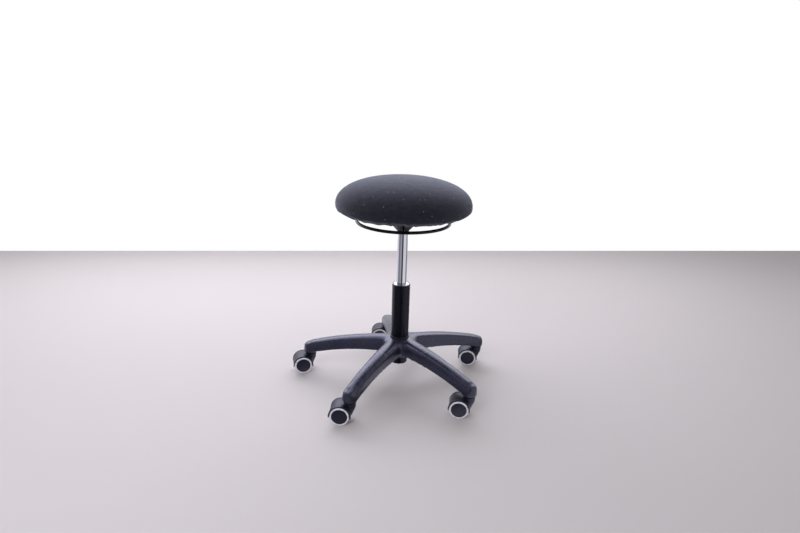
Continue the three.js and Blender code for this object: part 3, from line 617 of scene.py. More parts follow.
def piece(name, bm, node, also=(), crease=35):
    """Ends a bmesh as a piece that stands for a CAD node, with the node's body and finish."""
    made = loose(name, smooth(bm, crease))
    made.data.materials.append(finish_of(SLOT_OF[node]))
    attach(made, BODY_OF[node])
    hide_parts(node, *also)
    return made


def box(size, edge=0.0, segments=2):
    """A bevelled block of that size round the origin."""
    bm = bmesh.new()
    bmesh.ops.create_cube(bm, size=1)
    bmesh.ops.scale(bm, verts=bm.verts, vec=size)
    if edge:
        bmesh.ops.bevel(
            bm, geom=bm.edges[:], offset=edge, segments=segments, profile=0.5, affect="EDGES", material=-1
        )
    return bm


# ---- Base


def bend(start, middle, end, share):
    rest = 1 - share
    return rest * rest * start + 2 * rest * share * middle + share * share * end


def leg_section(share, sizes, circle, foot):
    """Distance, crest, sole and half width of a leg, from its root to its end."""
    along = bend(sizes.leg_root, sizes.leg_bend, circle, share)
    crest = foot + bend(0.0790, 0.0697, 0.0348, share)
    sole = foot + bend(0.0360, 0.0355, 0.0008, share)
    half = bend(sizes.root_half_width, sizes.leg_half_width, sizes.leg_half_width, share)
    return along, crest, sole, half


def leg_body(sizes, circle, foot):
    def outline(share):
        along, crest, sole, half = leg_section(share, sizes, circle, foot)
        top = crest - sizes.leg_crown
        shoulder = sizes.leg_shoulder * (1.8 - 0.8 * share)
        narrow, wide = half - sizes.leg_draft / 2, half + sizes.leg_draft / 2
        corners = [
            (-wide, sole, 0.0012),
            (-narrow, top, shoulder),
            (0, crest),
            (narrow, top, shoulder),
            (wide, sole, 0.0012),
        ]
        return along, rounded(corners, True, 5)

    count = len(outline(0)[1])

    def place(turn, share):
        along, points = outline(share)
        across, up = points[round(turn * count) % count]
        return Vector((along, across, up))

    return swept(count, 40, place)


def leg_pocket(sizes, circle, foot, start, end):
    """What is cut out of a leg between two distances from the axis."""

    def share_at(distance):
        bottom, top = 0.0, 1.0
        for _ in range(24):
            middle = (bottom + top) / 2
            if leg_section(middle, sizes, circle, foot)[0] < distance:
                bottom = middle
            else:
                top = middle
        return bottom

    first, last = share_at(start), share_at(end)

    def outline(share):
        along, crest, sole, half = leg_section(share, sizes, circle, foot)
        inside = half - sizes.leg_draft / 2 - sizes.leg_wall
        roof = crest - sizes.leg_crown - 1.3 * sizes.leg_wall
        below = sole - 0.006
        corners = [(-inside, below), (-inside, roof, 0.007), (inside, roof, 0.007), (inside, below)]
        return along, rounded(corners, True, 4)

    count = len(outline(0)[1])

    def place(turn, share):
        along, points = outline(first + (last - first) * share)
        across, up = points[round(turn * count) % count]
        return Vector((along, across, up))

    return swept(count, 6, place)


class STOOL_OT_base(Operator):
    """Moulds the five legs, the hub and the caster bosses as one hollow body"""

    bl_idname = "stool.base"
    bl_label = "Five-legged base"

    def execute(self, context):
        sizes = context.scene.stool_base
        foot = low("star_base")
        hub_top = low("tube_collar") - 0.0003
        spots = [Vector(JOINTS["caster_swivel_" + name]["pos_m"]) - BALL for name in CASTERS]
        circle = spots[0].xy.length
        turns = [Matrix.Rotation(math.atan2(spot.y, spot.x), 4, "Z") for spot in spots]
        out = Matrix.Translation((circle, 0, 0))
        boss_top = foot + sizes.boss_height
        boss = spun([(0, foot), (sizes.boss_radius, foot, 0.001), (sizes.boss_radius, boss_top, sizes.boss_edge), (0, boss_top)])
        leg = together(leg_body(sizes, circle, foot), moved(boss, out))
        hub_low = hub_top - sizes.hub_depth
        hub = spun([(0, hub_low), (sizes.hub_radius, hub_low, 0.005), (sizes.hub_radius, hub_top, 0.014), (0, hub_top)])
        sleeve_radius = context.scene.stool_column.tube_radius + sizes.sleeve_wall
        sleeve_low = hub_top - 0.060
        sleeve = spun([(0, sleeve_low), (sleeve_radius, sleeve_low, 0.0015), (sleeve_radius, hub_top - 0.01), (0, hub_top - 0.01)])
        bm = fused(together(copies(leg, turns), hub, sleeve), sizes.voxel, sizes.leg_passes)
        leg.free()
        for reach in (0.110, 0.090, 0.070):
            near_hub = [v for v in bm.verts if v.co.xy.length < reach and v.co.z > hub_low + 0.004]
            smoothed(bm, near_hub, sizes.hub_passes // 3)
        near_boss = [v for v in bm.verts if v.co.xy.length > circle - 0.032 and v.co.z > foot + 0.012]
        smoothed(bm, near_boss, sizes.boss_passes)
        pitch = (0.232 - 0.050 + 0.003) / 3
        pockets = together(
            *(leg_pocket(sizes, circle, foot, 0.050 + i * pitch, 0.050 + (i + 1) * pitch - 0.003) for i in range(3))
        )
        stem_hole = spun([(0, foot - 0.002), (0.0063, foot - 0.002), (0.0063, foot + 0.0223), (0, foot + 0.0223)], sides=32)
        tube = context.scene.stool_column.tube_radius
        bore = spun(
            [
                (0, low("stand_tube") - 0.002),
                (tube - 0.0009, low("stand_tube") - 0.002),
                (tube + 0.0003, hub_top),
                (tube + 0.0003, hub_top + 0.0002),
                (tube + 0.0027, hub_top + 0.0002),
                (tube + 0.0027, hub_top + 0.012),
                (0, hub_top + 0.012),
            ]
        )
        leg_cuts = together(pockets, moved(stem_hole, out))
        cuts = together(copies(leg_cuts, turns), bore)
        leg_cuts.free()
        bm = carved(bm, cuts)
        piece("base_moulding", moved(bm, COLUMN), "star_base")
        return {"FINISHED"}


# ---- Column


class STOOL_OT_column(Operator):
    """Makes the stand tube, its collar and bush, and the chromed cylinder"""

    bl_idname = "stool.column"
    bl_label = "Column"

    def execute(self, context):
        sizes = context.scene.stool_column
        tube = sizes.tube_radius
        wall = sizes.tube_wall
        foot, top = low("stand_tube"), high("stand_tube")
        hub_top = low("tube_collar") - 0.0003
        rim = top - 0.0035
        outline = [
            (0.0043, foot),
            (tube - 0.0020, foot, 0.0012),
            (tube - 0.0014, foot + 2 * wall),
            (tube, hub_top),
            (tube, rim, 0.001),
            (tube + sizes.tube_rim, rim + 0.0006, 0.0006),
            (tube + sizes.tube_rim, top - 0.0006, 0.0006),
            (tube - 0.0004, top, 0.0004),
            (tube - wall, top, 0.0003),
            (tube - wall, hub_top),
            (tube - wall - 0.0020, foot + 0.003),
            (0.0043, foot + 0.003),
        ]
        punch = bmesh.new()
        bmesh.ops.create_icosphere(punch, subdivisions=3, radius=sizes.crimp_radius)
        reach = tube + sizes.crimp_radius - sizes.crimp_depth
        turns = [Matrix.Rotation(math.radians(angle), 4, "Z") for angle in (-80, 40, 160)]
        places = [turn @ Matrix.Translation((reach, 0, top - 0.0125)) for turn in turns]
        tube_bm = carved(spun(outline, True, 128), copies(punch, places))
        punch.free()
        piece("stand_tube_drawn", moved(tube_bm, COLUMN), "stand_tube")

        inner = tube + 0.0003
        collar = [(inner, hub_top + 0.0003), (inner + 0.0022, hub_top + 0.0003, 0.0004)]
        collar += [(inner + 0.0022, hub_top + 0.0043, 0.0012), (inner, hub_top + 0.0043, 0.0004)]
        piece("hub_collar", moved(spun(collar, True, 128), COLUMN), "tube_collar")

        lip = tube - 0.0008
        bush_foot, bush_top = low("guide_bush"), high("guide_bush")
        bore = sizes.cylinder_radius + 0.0003
        face = bush_top - 0.0012
        washer = [(bore + 0.0002, face - 0.0004), (lip - 0.0032, face - 0.0004, 0.0002)]
        washer += [(lip - 0.0032, bush_top - 0.0003, 0.0003), (bore + 0.0002, bush_top - 0.0003, 0.0003)]
        wiper = moved(spun(washer, True, 128), COLUMN)
        bush = [
            (bore, bush_foot),
            (tube - wall - 0.0003, bush_foot, 0.0008),
            (tube - wall - 0.0003, top + 0.0003),
            (lip, top + 0.0003, 0.0003),
            (lip, bush_top, 0.0012),
            (lip - 0.0030, bush_top, 0.0004),
            (lip - 0.0030, face - 0.0006, 0.0002),
            (bore, face - 0.0006, 0.0003),
        ]
        piece("guide_sleeve", moved(spun(bush, True, 128), COLUMN), "guide_bush")
        ring = loose("wiper_ring", smooth(wiper))
        ring.data.materials.append(finish_of("rod_steel"))
        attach(ring, "base")

        radius = sizes.cylinder_radius
        base, tip = low("gas_cylinder"), high("gas_cylinder")
        cylinder = [
            (radius - 0.002, base),
            (radius, base, 0.001),
            (radius, tip - 0.042),
            (radius - 0.001, tip, 0.0006),
            (0.0038, tip),
            (0.0038, tip - 0.012),
            (radius - 0.002, tip - 0.012),
        ]
        piece("chromed_cylinder", moved(spun(cylinder, True, 128), COLUMN), "gas_cylinder")
        return {"FINISHED"}


class STOOL_OT_ring_lever(Operator):
    """Bends and welds the ring lever under the seat"""

    bl_idname = "stool.ring_lever"
    bl_label = "Ring lever"

    def execute(self, context):
        sizes = context.scene.stool_column
        level = JOINTS["ring_lift"]["pos_m"][2]
        ring = bmesh.new()
        bmesh.ops.create_circle(ring, segments=28, radius=sizes.ring_rod)
        bmesh.ops.rotate(ring, verts=ring.verts, matrix=Matrix.Rotation(math.pi / 2, 3, "X"))
        bmesh.ops.translate(ring, verts=ring.verts, vec=(sizes.ring_radius, 0, 0))
        bmesh.ops.spin(
            ring, geom=ring.verts[:] + ring.edges[:], cent=(0, 0, 0), axis=(0, 0, 1), angle=2 * math.pi, steps=180, use_merge=True
        )
        tidy(ring)
        rod = sizes.arm_rod
        arm = spun([(0, 0), (rod, 0), (rod, sizes.ring_radius), (0, sizes.ring_radius)], sides=24)
        weld = spun(
            [(rod * 0.9, -0.0052), (rod + 0.0016, -0.0044, 0.0008), (rod + 0.0002, -0.0078), (rod * 0.9, -0.0078)],
            True,
            24,
            3,
        )
        moved(weld, Matrix.Translation((0, 0, sizes.ring_radius + 0.0008)))
        reach = together(arm, weld)
        lying = Matrix.Rotation(math.pi / 2, 4, "Y")
        arms = copies(reach, [Matrix.Rotation(math.radians(a), 4, "Z") @ lying for a in (30, 150, 270)])
        reach.free()
        top = rod
        foot = high("valve_button") + 0.0003 - level
        boss = spun([(0, foot), (0.010, foot, 0.0008), (0.010, top, 0.0012), (0, top)], sides=48)
        pin = spun([(0, -0.0085), (0.0025, -0.0085, 0.0004), (0.0025, 0.0085, 0.0004), (0, 0.0085)], sides=24)
        moved(pin, Matrix.Translation((0, -0.038, 0)) @ lying)
        bm = moved(together(ring, arms, boss, pin), COLUMN @ Matrix.Translation((0, 0, level)))
        piece("ring_handle", bm, "ring_lever")
        return {"FINISHED"}


class STOOL_OT_socket(Operator):
    """Makes the cone under the seat and the rubber buffer on it"""

    bl_idname = "stool.socket"
    bl_label = "Ball socket"

    def execute(self, context):
        sizes = context.scene.stool_column
        foot, top = low("socket_cone"), high("socket_cone")
        ring = JOINTS["ring_lift"]["pos_m"][2]
        tip = high("gas_cylinder")
        sleeve = sizes.cylinder_radius + 0.0018
        rim = sizes.socket_rim
        cone = spun(
            [
                (0, foot),
                (sleeve, foot, 0.0006),
                (sleeve, foot + 0.007, 0.006),
                (sizes.socket_waist, foot + 0.019, 0.006),
                (0.046, foot + 0.0335, 0.004),
                (rim, foot + 0.0385, 0.004),
                (rim, top, 0.001),
                (0, top),
            ],
            sides=128,
        )
        bore = spun([(0, foot - 0.001), (sizes.cylinder_radius + 0.0002, foot - 0.001), (0.0132, tip + 0.001), (0, tip + 0.001)])
        cavity = spun([(0, tip), (0.017, tip), (0.017, ring + 0.004), (0, ring + 0.004)])
        throat = spun([(0, ring), (0.010, ring), (0.010, BALL.z), (0, BALL.z)], sides=48)
        recess = spun([(0, BALL.z + 0.002), (0.0343, BALL.z + 0.002), (0.0343, top + 0.001), (0, top + 0.001)])
        seat = bmesh.new()
        bmesh.ops.create_uvsphere(seat, u_segments=64, v_segments=32, radius=0.0192)
        moved(seat, Matrix.Translation((0, 0, BALL.z)))
        slot = moved(box((0.05, 0.008, 0.011)), Matrix.Translation((0.0251, 0, ring - 0.0015)))
        slots = copies(slot, [Matrix.Rotation(math.radians(a), 4, "Z") for a in (30, 150, 270)])
        slot.free()
        pin_hole = moved(
            spun([(0, -0.0088), (0.0028, -0.0088), (0.0028, 0.0088), (0, 0.0088)], sides=24),
            Matrix.Translation((0, -0.038, ring)) @ Matrix.Rotation(math.pi / 2, 4, "Y"),
        )
        cone = carved(cone, together(bore, cavity, throat, recess, seat, slots, pin_hole))
        piece("socket_housing", moved(cone, COLUMN), "socket_cone", crease=30)

        lower, upper = low("rubber_buffer"), high("rubber_buffer")
        outer = radius_of("rubber_buffer")
        inner = 0.0134
        buffer_outline = [
            (inner, lower),
            (outer, lower, 0.0008),
            (outer + 0.0004, (lower + upper) / 2 - 0.0012, 0.002),
            (outer, upper - 0.003, 0.0015),
            (inner, upper, 0.001),
        ]
        piece("tilt_buffer", moved(spun(buffer_outline, True), COLUMN), "rubber_buffer")
        return {"FINISHED"}


# ---- Casters


def hood(sizes):
    """The hood over both wheels, its web and the post, fused as one moulding."""
    outer = sizes.hood_radius
    inner = outer - sizes.hood_wall
    half = sizes.hood_half_width
    lip, waist = half - sizes.hood_lip, outer - sizes.hood_dip
    wall = spun(
        [
            (inner, -half, 0.0006),
            (outer, -half, 0.0009),
            (outer, -lip, 0.0009),
            (waist, -lip + 0.003, 0.002),
            (waist, lip - 0.003, 0.002),
            (outer, lip, 0.0009),
            (outer, half, 0.0009),
            (inner, half, 0.0006),
        ],
        True,
        64,
        3,
        math.radians(-10),
        math.radians(196),
    )
    web = spun(
        [(0.004, -sizes.web_half_width), (inner + 0.001, -sizes.web_half_width), (inner + 0.001, sizes.web_half_width), (0.004, sizes.web_half_width)],
        True,
        64,
        1,
        math.radians(-10),
        math.radians(196),
    )
    hub = spun([(0, -sizes.web_half_width), (0.009, -sizes.web_half_width), (0.009, sizes.web_half_width), (0, sizes.web_half_width)], sides=48)
    # Turned about Z and laid on its side, the hood opens downwards with its front towards the stem
    onto_axle = Matrix.Translation((-sizes.trail, 0, sizes.wheel_radius)) @ Matrix.Rotation(math.pi / 2, 4, "X")
    shell = moved(together(wall, web, hub), onto_axle)
    top = high("caster_housing_rear")
    post = spun(
        [
            (0, sizes.wheel_radius - 0.006),
            (0.0052, sizes.wheel_radius - 0.0055, 0.003),
            (sizes.post_radius - 0.0015, top - 0.0150, 0.010),
            (sizes.post_radius, top, 0.001),
            (0, top),
        ],
        sides=64,
    )
    bm = fused(together(shell, post), 0.00075, 3)
    hole = spun([(0, top - 0.0163), (0.0058, top - 0.0163), (0.0058, top + 0.001), (0, top + 0.001)], sides=32)
    axle = moved(
        spun([(0, -0.008), (0.0043, -0.008), (0.0043, 0.008), (0, 0.008)], sides=32),
        onto_axle,
    )
    room = inner - 0.0001
    wells = [
        moved(spun([(0, a), (room, a), (room, b), (0, b)], sides=96), onto_axle)
        for a, b in ((sizes.web_half_width, 2 * half), (-2 * half, -sizes.web_half_width))
    ]
    return carved(bm, together(hole, axle, *wells))


def wheel(sizes):
    """One wheel's body, turned about Z with its outer face up."""
    rim = sizes.wheel_radius - sizes.tread_depth - 0.0002
    inner, face = sizes.inner_face, sizes.inner_face + sizes.tread_width - 0.0006
    bore = 0.0043
    end = sizes.web_half_width + 0.0123
    return spun(
        [
            (0, end),
            (bore, end),
            (bore, inner),
            (rim, inner, 0.0006),
            (rim, face, 0.0012),
            (rim - 0.0022, face + 0.0002, 0.0006),
            (rim - 0.0030, face - 0.0002, 0.0006),
            (rim - 0.0040, face + 0.0003, 0.002),
            (rim * 0.45, face + sizes.cap_dome * 0.9, 0.02),
            (0, face + sizes.cap_dome),
        ],
        sides=72,
    )


def tread(sizes):
    inner = sizes.wheel_radius - sizes.tread_depth
    near, far = sizes.inner_face, sizes.inner_face + sizes.tread_width
    return spun(
        [
            (inner, near),
            (sizes.wheel_radius, near, 0.0015),
            (sizes.wheel_radius, far, sizes.tread_shoulder),
            (inner + 0.0004, far - 0.0002, 0.0005),
            (inner, far - 0.0012),
        ],
        True,
        96,
    )


class STOOL_OT_casters(Operator):
    """Makes five twin-wheel casters with hoods, wheels and soft treads"""

    bl_idname = "stool.casters"
    bl_label = "Casters"

    def execute(self, context):
        sizes = context.scene.stool_casters
        foot = low("star_base")
        housing, rim, tyre = hood(sizes), wheel(sizes), tread(sizes)
        collar = foot - 0.0003
        stem_foot, stem_top = low("caster_stem_rear"), high("caster_stem_rear")
        stem = spun(
            [
                (0, stem_foot),
                (0.0055, stem_foot, 0.0006),
                (0.0055, collar - 0.001),
                (0.009, collar - 0.001, 0.0003),
                (0.009, collar, 0.0003),
                (0.0055, collar),
                (0.0055, foot + 0.011),
                (0.0045, foot + 0.011),
                (0.0045, foot + 0.014),
                (0.0055, foot + 0.014),
                (0.0055, stem_top, 0.001),
                (0, stem_top),
            ],
            sides=40,
        )
        for name in CASTERS:
            joint = JOINTS["roll_" + name + "_near"]
            post = JOINTS["caster_swivel_" + name]["pos_m"]
            across = Vector(joint["axis"])
            turn = math.atan2(-across.x, across.y)
            here = Matrix.Translation((post[0], post[1], 0)) @ Matrix.Rotation(turn, 4, "Z")
            piece("housing_" + name, moved(housing.copy(), here), "caster_housing_" + name)
            piece("stem_" + name, moved(stem.copy(), here), "caster_stem_" + name)
            at_axle = here @ Matrix.Translation((-sizes.trail, 0, sizes.wheel_radius))
            for side, way in (("near", 1), ("far", -1)):
                facing = at_axle @ Matrix.Rotation(way * math.pi / 2, 4, "X")
                label = name + "_" + side
                piece("cap_" + label, moved(rim.copy(), facing), "wheel_" + label)
                piece("tread_" + label, moved(tyre.copy(), facing), "tyre_" + label)
        for part in (housing, rim, tyre, stem):
            part.free()
        return {"FINISHED"}


# ---- Seat


def cover_outline(sizes):
    """Points of the cover from its top to its turned hem, before it swells."""
    hem = low("seat_cover") - sizes.hem_drop
    apex = high("seat_cover") - sizes.top_slack
    widest = hem + sizes.widest
    radius = sizes.radius - sizes.side_slack
    rise = apex - widest
    power, lower = sizes.upper_power, sizes.lower_power
    steps = 90
    points = []
    for i in range(steps + 1):
        angle = math.pi / 2 * (1 - i / steps)
        points.append((radius * math.cos(angle) ** (2 / power) if i else 0.0, widest + rise * math.sin(angle) ** (2 / power)))
    fall = sizes.widest / (1 - (sizes.hem_radius / sizes.radius) ** lower) ** (1 / lower)
    last = math.asin((sizes.widest / fall) ** (lower / 2))
    for i in range(1, 30):
        angle = last * i / 29
        points.append((radius * math.cos(angle) ** (2 / lower), widest - fall * math.sin(angle) ** (2 / lower)))
    inner = sizes.hem_radius - sizes.hem_turn
    corner = [points[-2], (*points[-1], sizes.hem_round), (inner, hem, 0.002), (inner, hem + 0.0035)]
    return points[:-2] + [tuple(p) for p in rounded(corner, chords=8)]


def along(points):
    """(whole length, a function that gives the point at a share of it)."""
    reached = [0.0]
    for a, b in zip(points, points[1:]):
        reached.append(reached[-1] + math.dist(a, b))

    def at(share):
        goal = share * reached[-1]
        i = min(max(next((k for k, r in enumerate(reached) if r >= goal), len(points) - 1), 1), len(points) - 1)
        part = (goal - reached[i - 1]) / max(reached[i] - reached[i - 1], 1e-9)
        a, b = points[i - 1], points[i]
        return a[0] + (b[0] - a[0]) * part, a[1] + (b[1] - a[1]) * part

    return reached[-1], at


def draped(made, sizes, start):
    """Lets the cover swell under its foam with the hem held by its staples, then applies it."""
    hem = low("seat_cover") - sizes.hem_drop
    held = made.vertex_groups.new(name="stapled")
    for v in made.data.vertices:
        reach = Vector((v.co.x - BALL.x, v.co.y - BALL.y)).length
        if v.co.z < hem + 0.005 and reach < sizes.hem_radius - 0.001:
            held.add([v.index], 1.0, "REPLACE")
    cloth = made.modifiers.new("cloth", "CLOTH")
    cloth.settings.vertex_group_mass = "stapled"
    cloth.settings.effector_weights.gravity = 0.0
    cloth.settings.use_pressure = True
    cloth.settings.uniform_pressure_force = 4.0
    cloth.settings.tension_stiffness = 25.0
    cloth.settings.compression_stiffness = 25.0
    cloth.settings.bending_stiffness = 2.0
    cloth.point_cache.frame_start = 1
    cloth.point_cache.frame_end = 20
    for step in range(1, 21):
        bpy.context.scene.frame_set(step)
    view = bpy.context.evaluated_depsgraph_get()
    swollen = [v.co.copy() for v in made.evaluated_get(view).data.vertices]
    made.modifiers.remove(cloth)
    bpy.context.scene.frame_set(1)
    made.vertex_groups.clear()
    for v, goal in zip(made.data.vertices, swollen):
        step = goal - start[v.index]
        if step.length > sizes.cap:
            step *= sizes.cap / step.length
        v.co = start[v.index] + step


def rippled(made, sizes):
    """Waves the cover's lower edge, as pulled down by its staples."""
    hem = low("seat_cover") - sizes.hem_drop
    for v in made.data.vertices:
        across, back = v.co.x - BALL.x, v.co.y - BALL.y
        reach = math.hypot(across, back)
        share = min(max((hem + 0.022 - v.co.z) / 0.018, 0), 1)
        if not share or reach < sizes.hem_radius - 0.6 * sizes.hem_turn:
            continue
        share = share * share * (3 - 2 * share)
        way = Vector((across / reach, back / reach, 0))
        wave = noise.noise((way.x * 5.2, way.y * 5.2, 3.1))
        pucker = noise.noise((way.x * 10.5, way.y * 10.5, 8.7))
        fray = noise.noise((way.x * 31, way.y * 31, 2.2))
        lean = noise.noise((way.x * 7.3, way.y * 7.3, 5.9))
        v.co.z += share * sizes.ripple * (0.8 * wave + 0.8 * pucker + fray)
        v.co += way * share * sizes.ripple * (0.6 * lean + 0.5 * fray)


class STOOL_OT_cushion(Operator):
    """Makes the upholstered cushion: foam, and a wool cover stapled under its board"""

    bl_idname = "stool.cushion"
    bl_label = "Cushion"

    def execute(self, context):
        sizes = context.scene.stool_seat
        whole, at = along(cover_outline(sizes))
        bm = bmesh.new()
        bmesh.ops.create_grid(bm, x_segments=sizes.cells, y_segments=sizes.cells, size=1.0)
        flat = bm.loops.layers.uv.new("cloth")
        spread = {}
        for v in bm.verts:
            x, y = v.co.x, v.co.y
            u, w = x * math.sqrt(1 - y * y / 2), y * math.sqrt(1 - x * x / 2)
            share = min(math.hypot(u, w), 1.0)
            # Cells are finest at the hem
            share_along = share * (1.22 - 0.22 * share * share)
            turn = math.atan2(w, u)
            radius, level = at(share_along)
            run = share_along * whole
            spread[v] = (math.cos(turn) * run, math.sin(turn) * run)
            v.co = (BALL.x + radius * math.cos(turn), BALL.y + radius * math.sin(turn), level)
        for face in bm.faces:
            for loop in face.loops:
                loop[flat].uv = spread[loop.vert]
        made = loose("seat_cushion", bm)
        draped(made, sizes, [v.co.copy() for v in made.data.vertices])
        rippled(made, sizes)
        made.modifiers.new("finer", "SUBSURF")
        bm = settled(made)
        # The underside of the foam, over the board and the plate's raised middle
        board_foot = low("seat_board") - 0.0004
        board_top = high("seat_board") + 0.0003
        crown = high("seat_plate") + 0.0003
        steps = [
            (sizes.hem_radius - sizes.hem_turn, board_foot),
            (sizes.board_radius + 0.0004, board_foot),
            (sizes.board_radius + 0.0004, board_top),
            (0.057, board_top),
            (0.057, crown),
        ]
        rim = [e for e in bm.edges if e.is_boundary]
        for reach, level in steps:
            grown = bmesh.ops.extrude_edge_only(bm, edges=rim)["geom"]
            rim = [g for g in grown if isinstance(g, bmesh.types.BMEdge)]
            for v in (g for g in grown if isinstance(g, bmesh.types.BMVert)):
                way = Vector((v.co.x - BALL.x, v.co.y - BALL.y)).normalized() * reach
                v.co = (BALL.x + way.x, BALL.y + way.y, level)
        bmesh.ops.holes_fill(bm, edges=rim, sides=0)
        bmesh.ops.recalc_face_normals(bm, faces=bm.faces)
        made = piece("seat_cushion", bm, "seat_cover", also=["seat_foam"], crease=50)
        return {"FINISHED"}


class STOOL_OT_underside(Operator):
    """Makes the steel plate, its screws, the felt and its staples"""

    bl_idname = "stool.underside"
    bl_label = "Seat underside"

    def execute(self, context):
        sizes = context.scene.stool_seat
        flange = low("seat_board") - 0.0033
        crown = high("seat_plate") - 0.003
        ball_radius, neck = 0.016, 0.008
        turn_to = math.pi - math.asin(neck / ball_radius)
        bowl = [
            (ball_radius * math.sin(turn_to * i / 16), BALL.z - ball_radius * math.cos(turn_to * i / 16))
            for i in range(17)
        ]
        plate = [
            *bowl,
            (neck, crown, 0.002),
            (0.050, crown, 0.003),
            (0.0575, flange, 0.003),
            (sizes.plate_radius, flange, 0.0008),
            (sizes.plate_radius, flange + 0.003, 0.0008),
            (0.0605, flange + 0.003, 0.003),
            (0.053, crown + 0.003, 0.003),
            (0, crown + 0.003),
        ]
        piece("seat_pan", moved(spun(plate, sides=128), COLUMN), "seat_plate")

        head = flange - 0.0003
        shank = [(0, head - 0.0026), (0.0035, head - 0.0026, 0.0006), (0.005, head - 0.0013, 0.001), (0.005, head, 0.0003)]
        shank += [(0.0025, head), (0.0025, head + 0.0098), (0, head + 0.0123)]
        cross = together(box((0.0052, 0.0011, 0.003)), box((0.0011, 0.0052, 0.003)))
        screw = carved(spun(shank, sides=40), moved(cross, Matrix.Translation((0, 0, head - 0.0026))))
        for i in range(1, 5):
            spot_low, spot_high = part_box("seat_screw_%d" % i)
            spot = (spot_low + spot_high) / 2
            turn = Matrix.Rotation(math.radians(17 + 31 * i), 4, "Z")
            here = Matrix.Translation((spot.x, spot.y, 0)) @ turn
            piece("pan_screw_%d" % i, moved(screw.copy(), here), "seat_screw_%d" % i)
        screw.free()

        top = high("dust_cover")
        inner, outer = sizes.plate_radius + 0.003, sizes.hem_radius - sizes.hem_turn - 0.0003
        felt = [(inner, top - 0.001, 0.0003), (outer, top - 0.001, 0.0003), (outer, top, 0.0003), (inner, top, 0.0003)]
        piece("felt_underlay", moved(spun(felt, True, 144, 2), COLUMN), "dust_cover")

        wire = moved(box((0.0009, 0.0105, 0.0006), 0.0002, 1), Matrix.Translation((outer - 0.006, 0, top - 0.0013)))
        count = sizes.staples
        places = [
            COLUMN @ Matrix.Rotation(2 * math.pi * (i + 0.22 * math.sin(i * 2.4)) / count, 4, "Z") for i in range(count)
        ]
        staples = loose("felt_staples", copies(wire, places))
        wire.free()
        staples.data.materials.append(finish_of("zinc_steel"))
        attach(staples, "seat")
        return {"FINISHED"}


class STOOL_OT_inner_parts(Operator):
    """Gives the carried-over inner parts their finishes"""

    bl_idname = "stool.inner_parts"
    bl_label = "Inner parts"

    def execute(self, context):
        for name, node in frame["nodes"].items():
            if node.hide_render:
                continue
            material = finish_of(SLOT_OF[name])
            node.data.materials.clear()
            node.data.materials.append(material)
        return {"FINISHED"}


# ---- Stage


def one_sided(tree, front):
    """Ends a material that isn't there when seen from behind, so that no view is blocked."""
    sides = {0: add(tree, "NewGeometry").outputs["Backfacing"], 1: front}
    sides[2] = add(tree, "BsdfTransparent").outputs[0]
    surface = add(tree, "MixShader", sides).outputs[0]
    tree.links.new(surface, tree.nodes["Material Output"].inputs["Surface"])


def background(name, tone, glow):
    """A backdrop's material: diffuse for the light, and a plain tone for the camera and in reflections."""
    material = bpy.data.materials.new(name)
    material.use_nodes = True
    tree = material.node_tree
    tree.nodes.remove(tree.nodes["Principled BSDF"])
    ray = add(tree, "LightPath")
    seen = ray.outputs["Is Camera Ray"]
    for also in ("Is Glossy Ray", "Is Transmission Ray"):
        seen = add(tree, "Math", {0: seen, 1: ray.outputs[also]}, operation="MAXIMUM").outputs[0]
    matt = add(tree, "BsdfDiffuse", {"Color": (*tone, 1)})
    bright = add(tree, "Emission", {"Color": (*glow, 1), "Strength": 1.0})
    front = add(tree, "MixShader", {0: seen, 1: matt.outputs[0], 2: bright.outputs[0]})
    one_sided(tree, front.outputs[0])
    return material


def sheet_of(name, width, depth, material, matrix):
    """A flat sheet of the stage."""
    bm = bmesh.new()
    bmesh.ops.create_grid(bm, x_segments=1, y_segments=1, size=0.5)
    bmesh.ops.scale(bm, verts=bm.verts, vec=(width, depth, 1))
    made = loose(name, moved(bm, matrix))
    made.data.materials.append(material)
    return made


def softbox(name, power, size, place, goal):
    """A soft rectangular lamp that faces a goal."""
    lamp = bpy.data.lights.new(name, "AREA")
    lamp.shape = "RECTANGLE"
    lamp.size, lamp.size_y = size
    lamp.energy = power
    lamp.color = linear("#f1f1ff")
    made = bpy.data.objects.new(name, lamp)
    made.location = place
    made.rotation_euler = (Vector(goal) - Vector(place)).to_track_quat("-Z", "Y").to_euler()
    made.visible_camera = False
    bpy.context.scene.collection.objects.link(made)
    return made


PAINTED_REFLECTION_BANDS = (
    # Angle round the stool from the camera's side, and how bright the painted reflection bands are there. The floor and
    # the world show these bands only in reflections.
    (-180, 1.0),
    (-92, 0.95),
    (-80, 0.26),
    (-46, 0.3),
    (-38, 0.5),
    (-12, 0.42),
    (-5, 0.05),
    (20, 0.06),
    (27, 1.0),
    (88, 1.0),
    (98, 0.36),
    (180, 0.45),
)


def studio(tree, point):
    """Painted reflection: bright and dark tones by the direction of point from the column, shown only in reflections.
    """
    way = add(tree, "SeparateXYZ", {0: point})
    back = add(tree, "Math", {0: way.outputs["Y"], 1: -1.0}, operation="MULTIPLY")
    turn = add(tree, "Math", {0: way.outputs["X"], 1: back.outputs[0]}, operation="ARCTAN2")
    share = {"Value": turn.outputs[0], "From Min": -math.pi, "From Max": math.pi}
    tones = add(tree, "ValToRGB", {"Fac": add(tree, "MapRange", share).outputs["Result"]})
    ramp = tones.color_ramp
    for angle, _ in PAINTED_REFLECTION_BANDS[1:-1]:
        ramp.elements.new((angle + 180) / 360)
    for stop, (_, level) in zip(ramp.elements, PAINTED_REFLECTION_BANDS):
        stop.color = (level * 0.97, level * 0.95, min(level * 1.1, 1), 1)
    return tones.outputs["Color"]


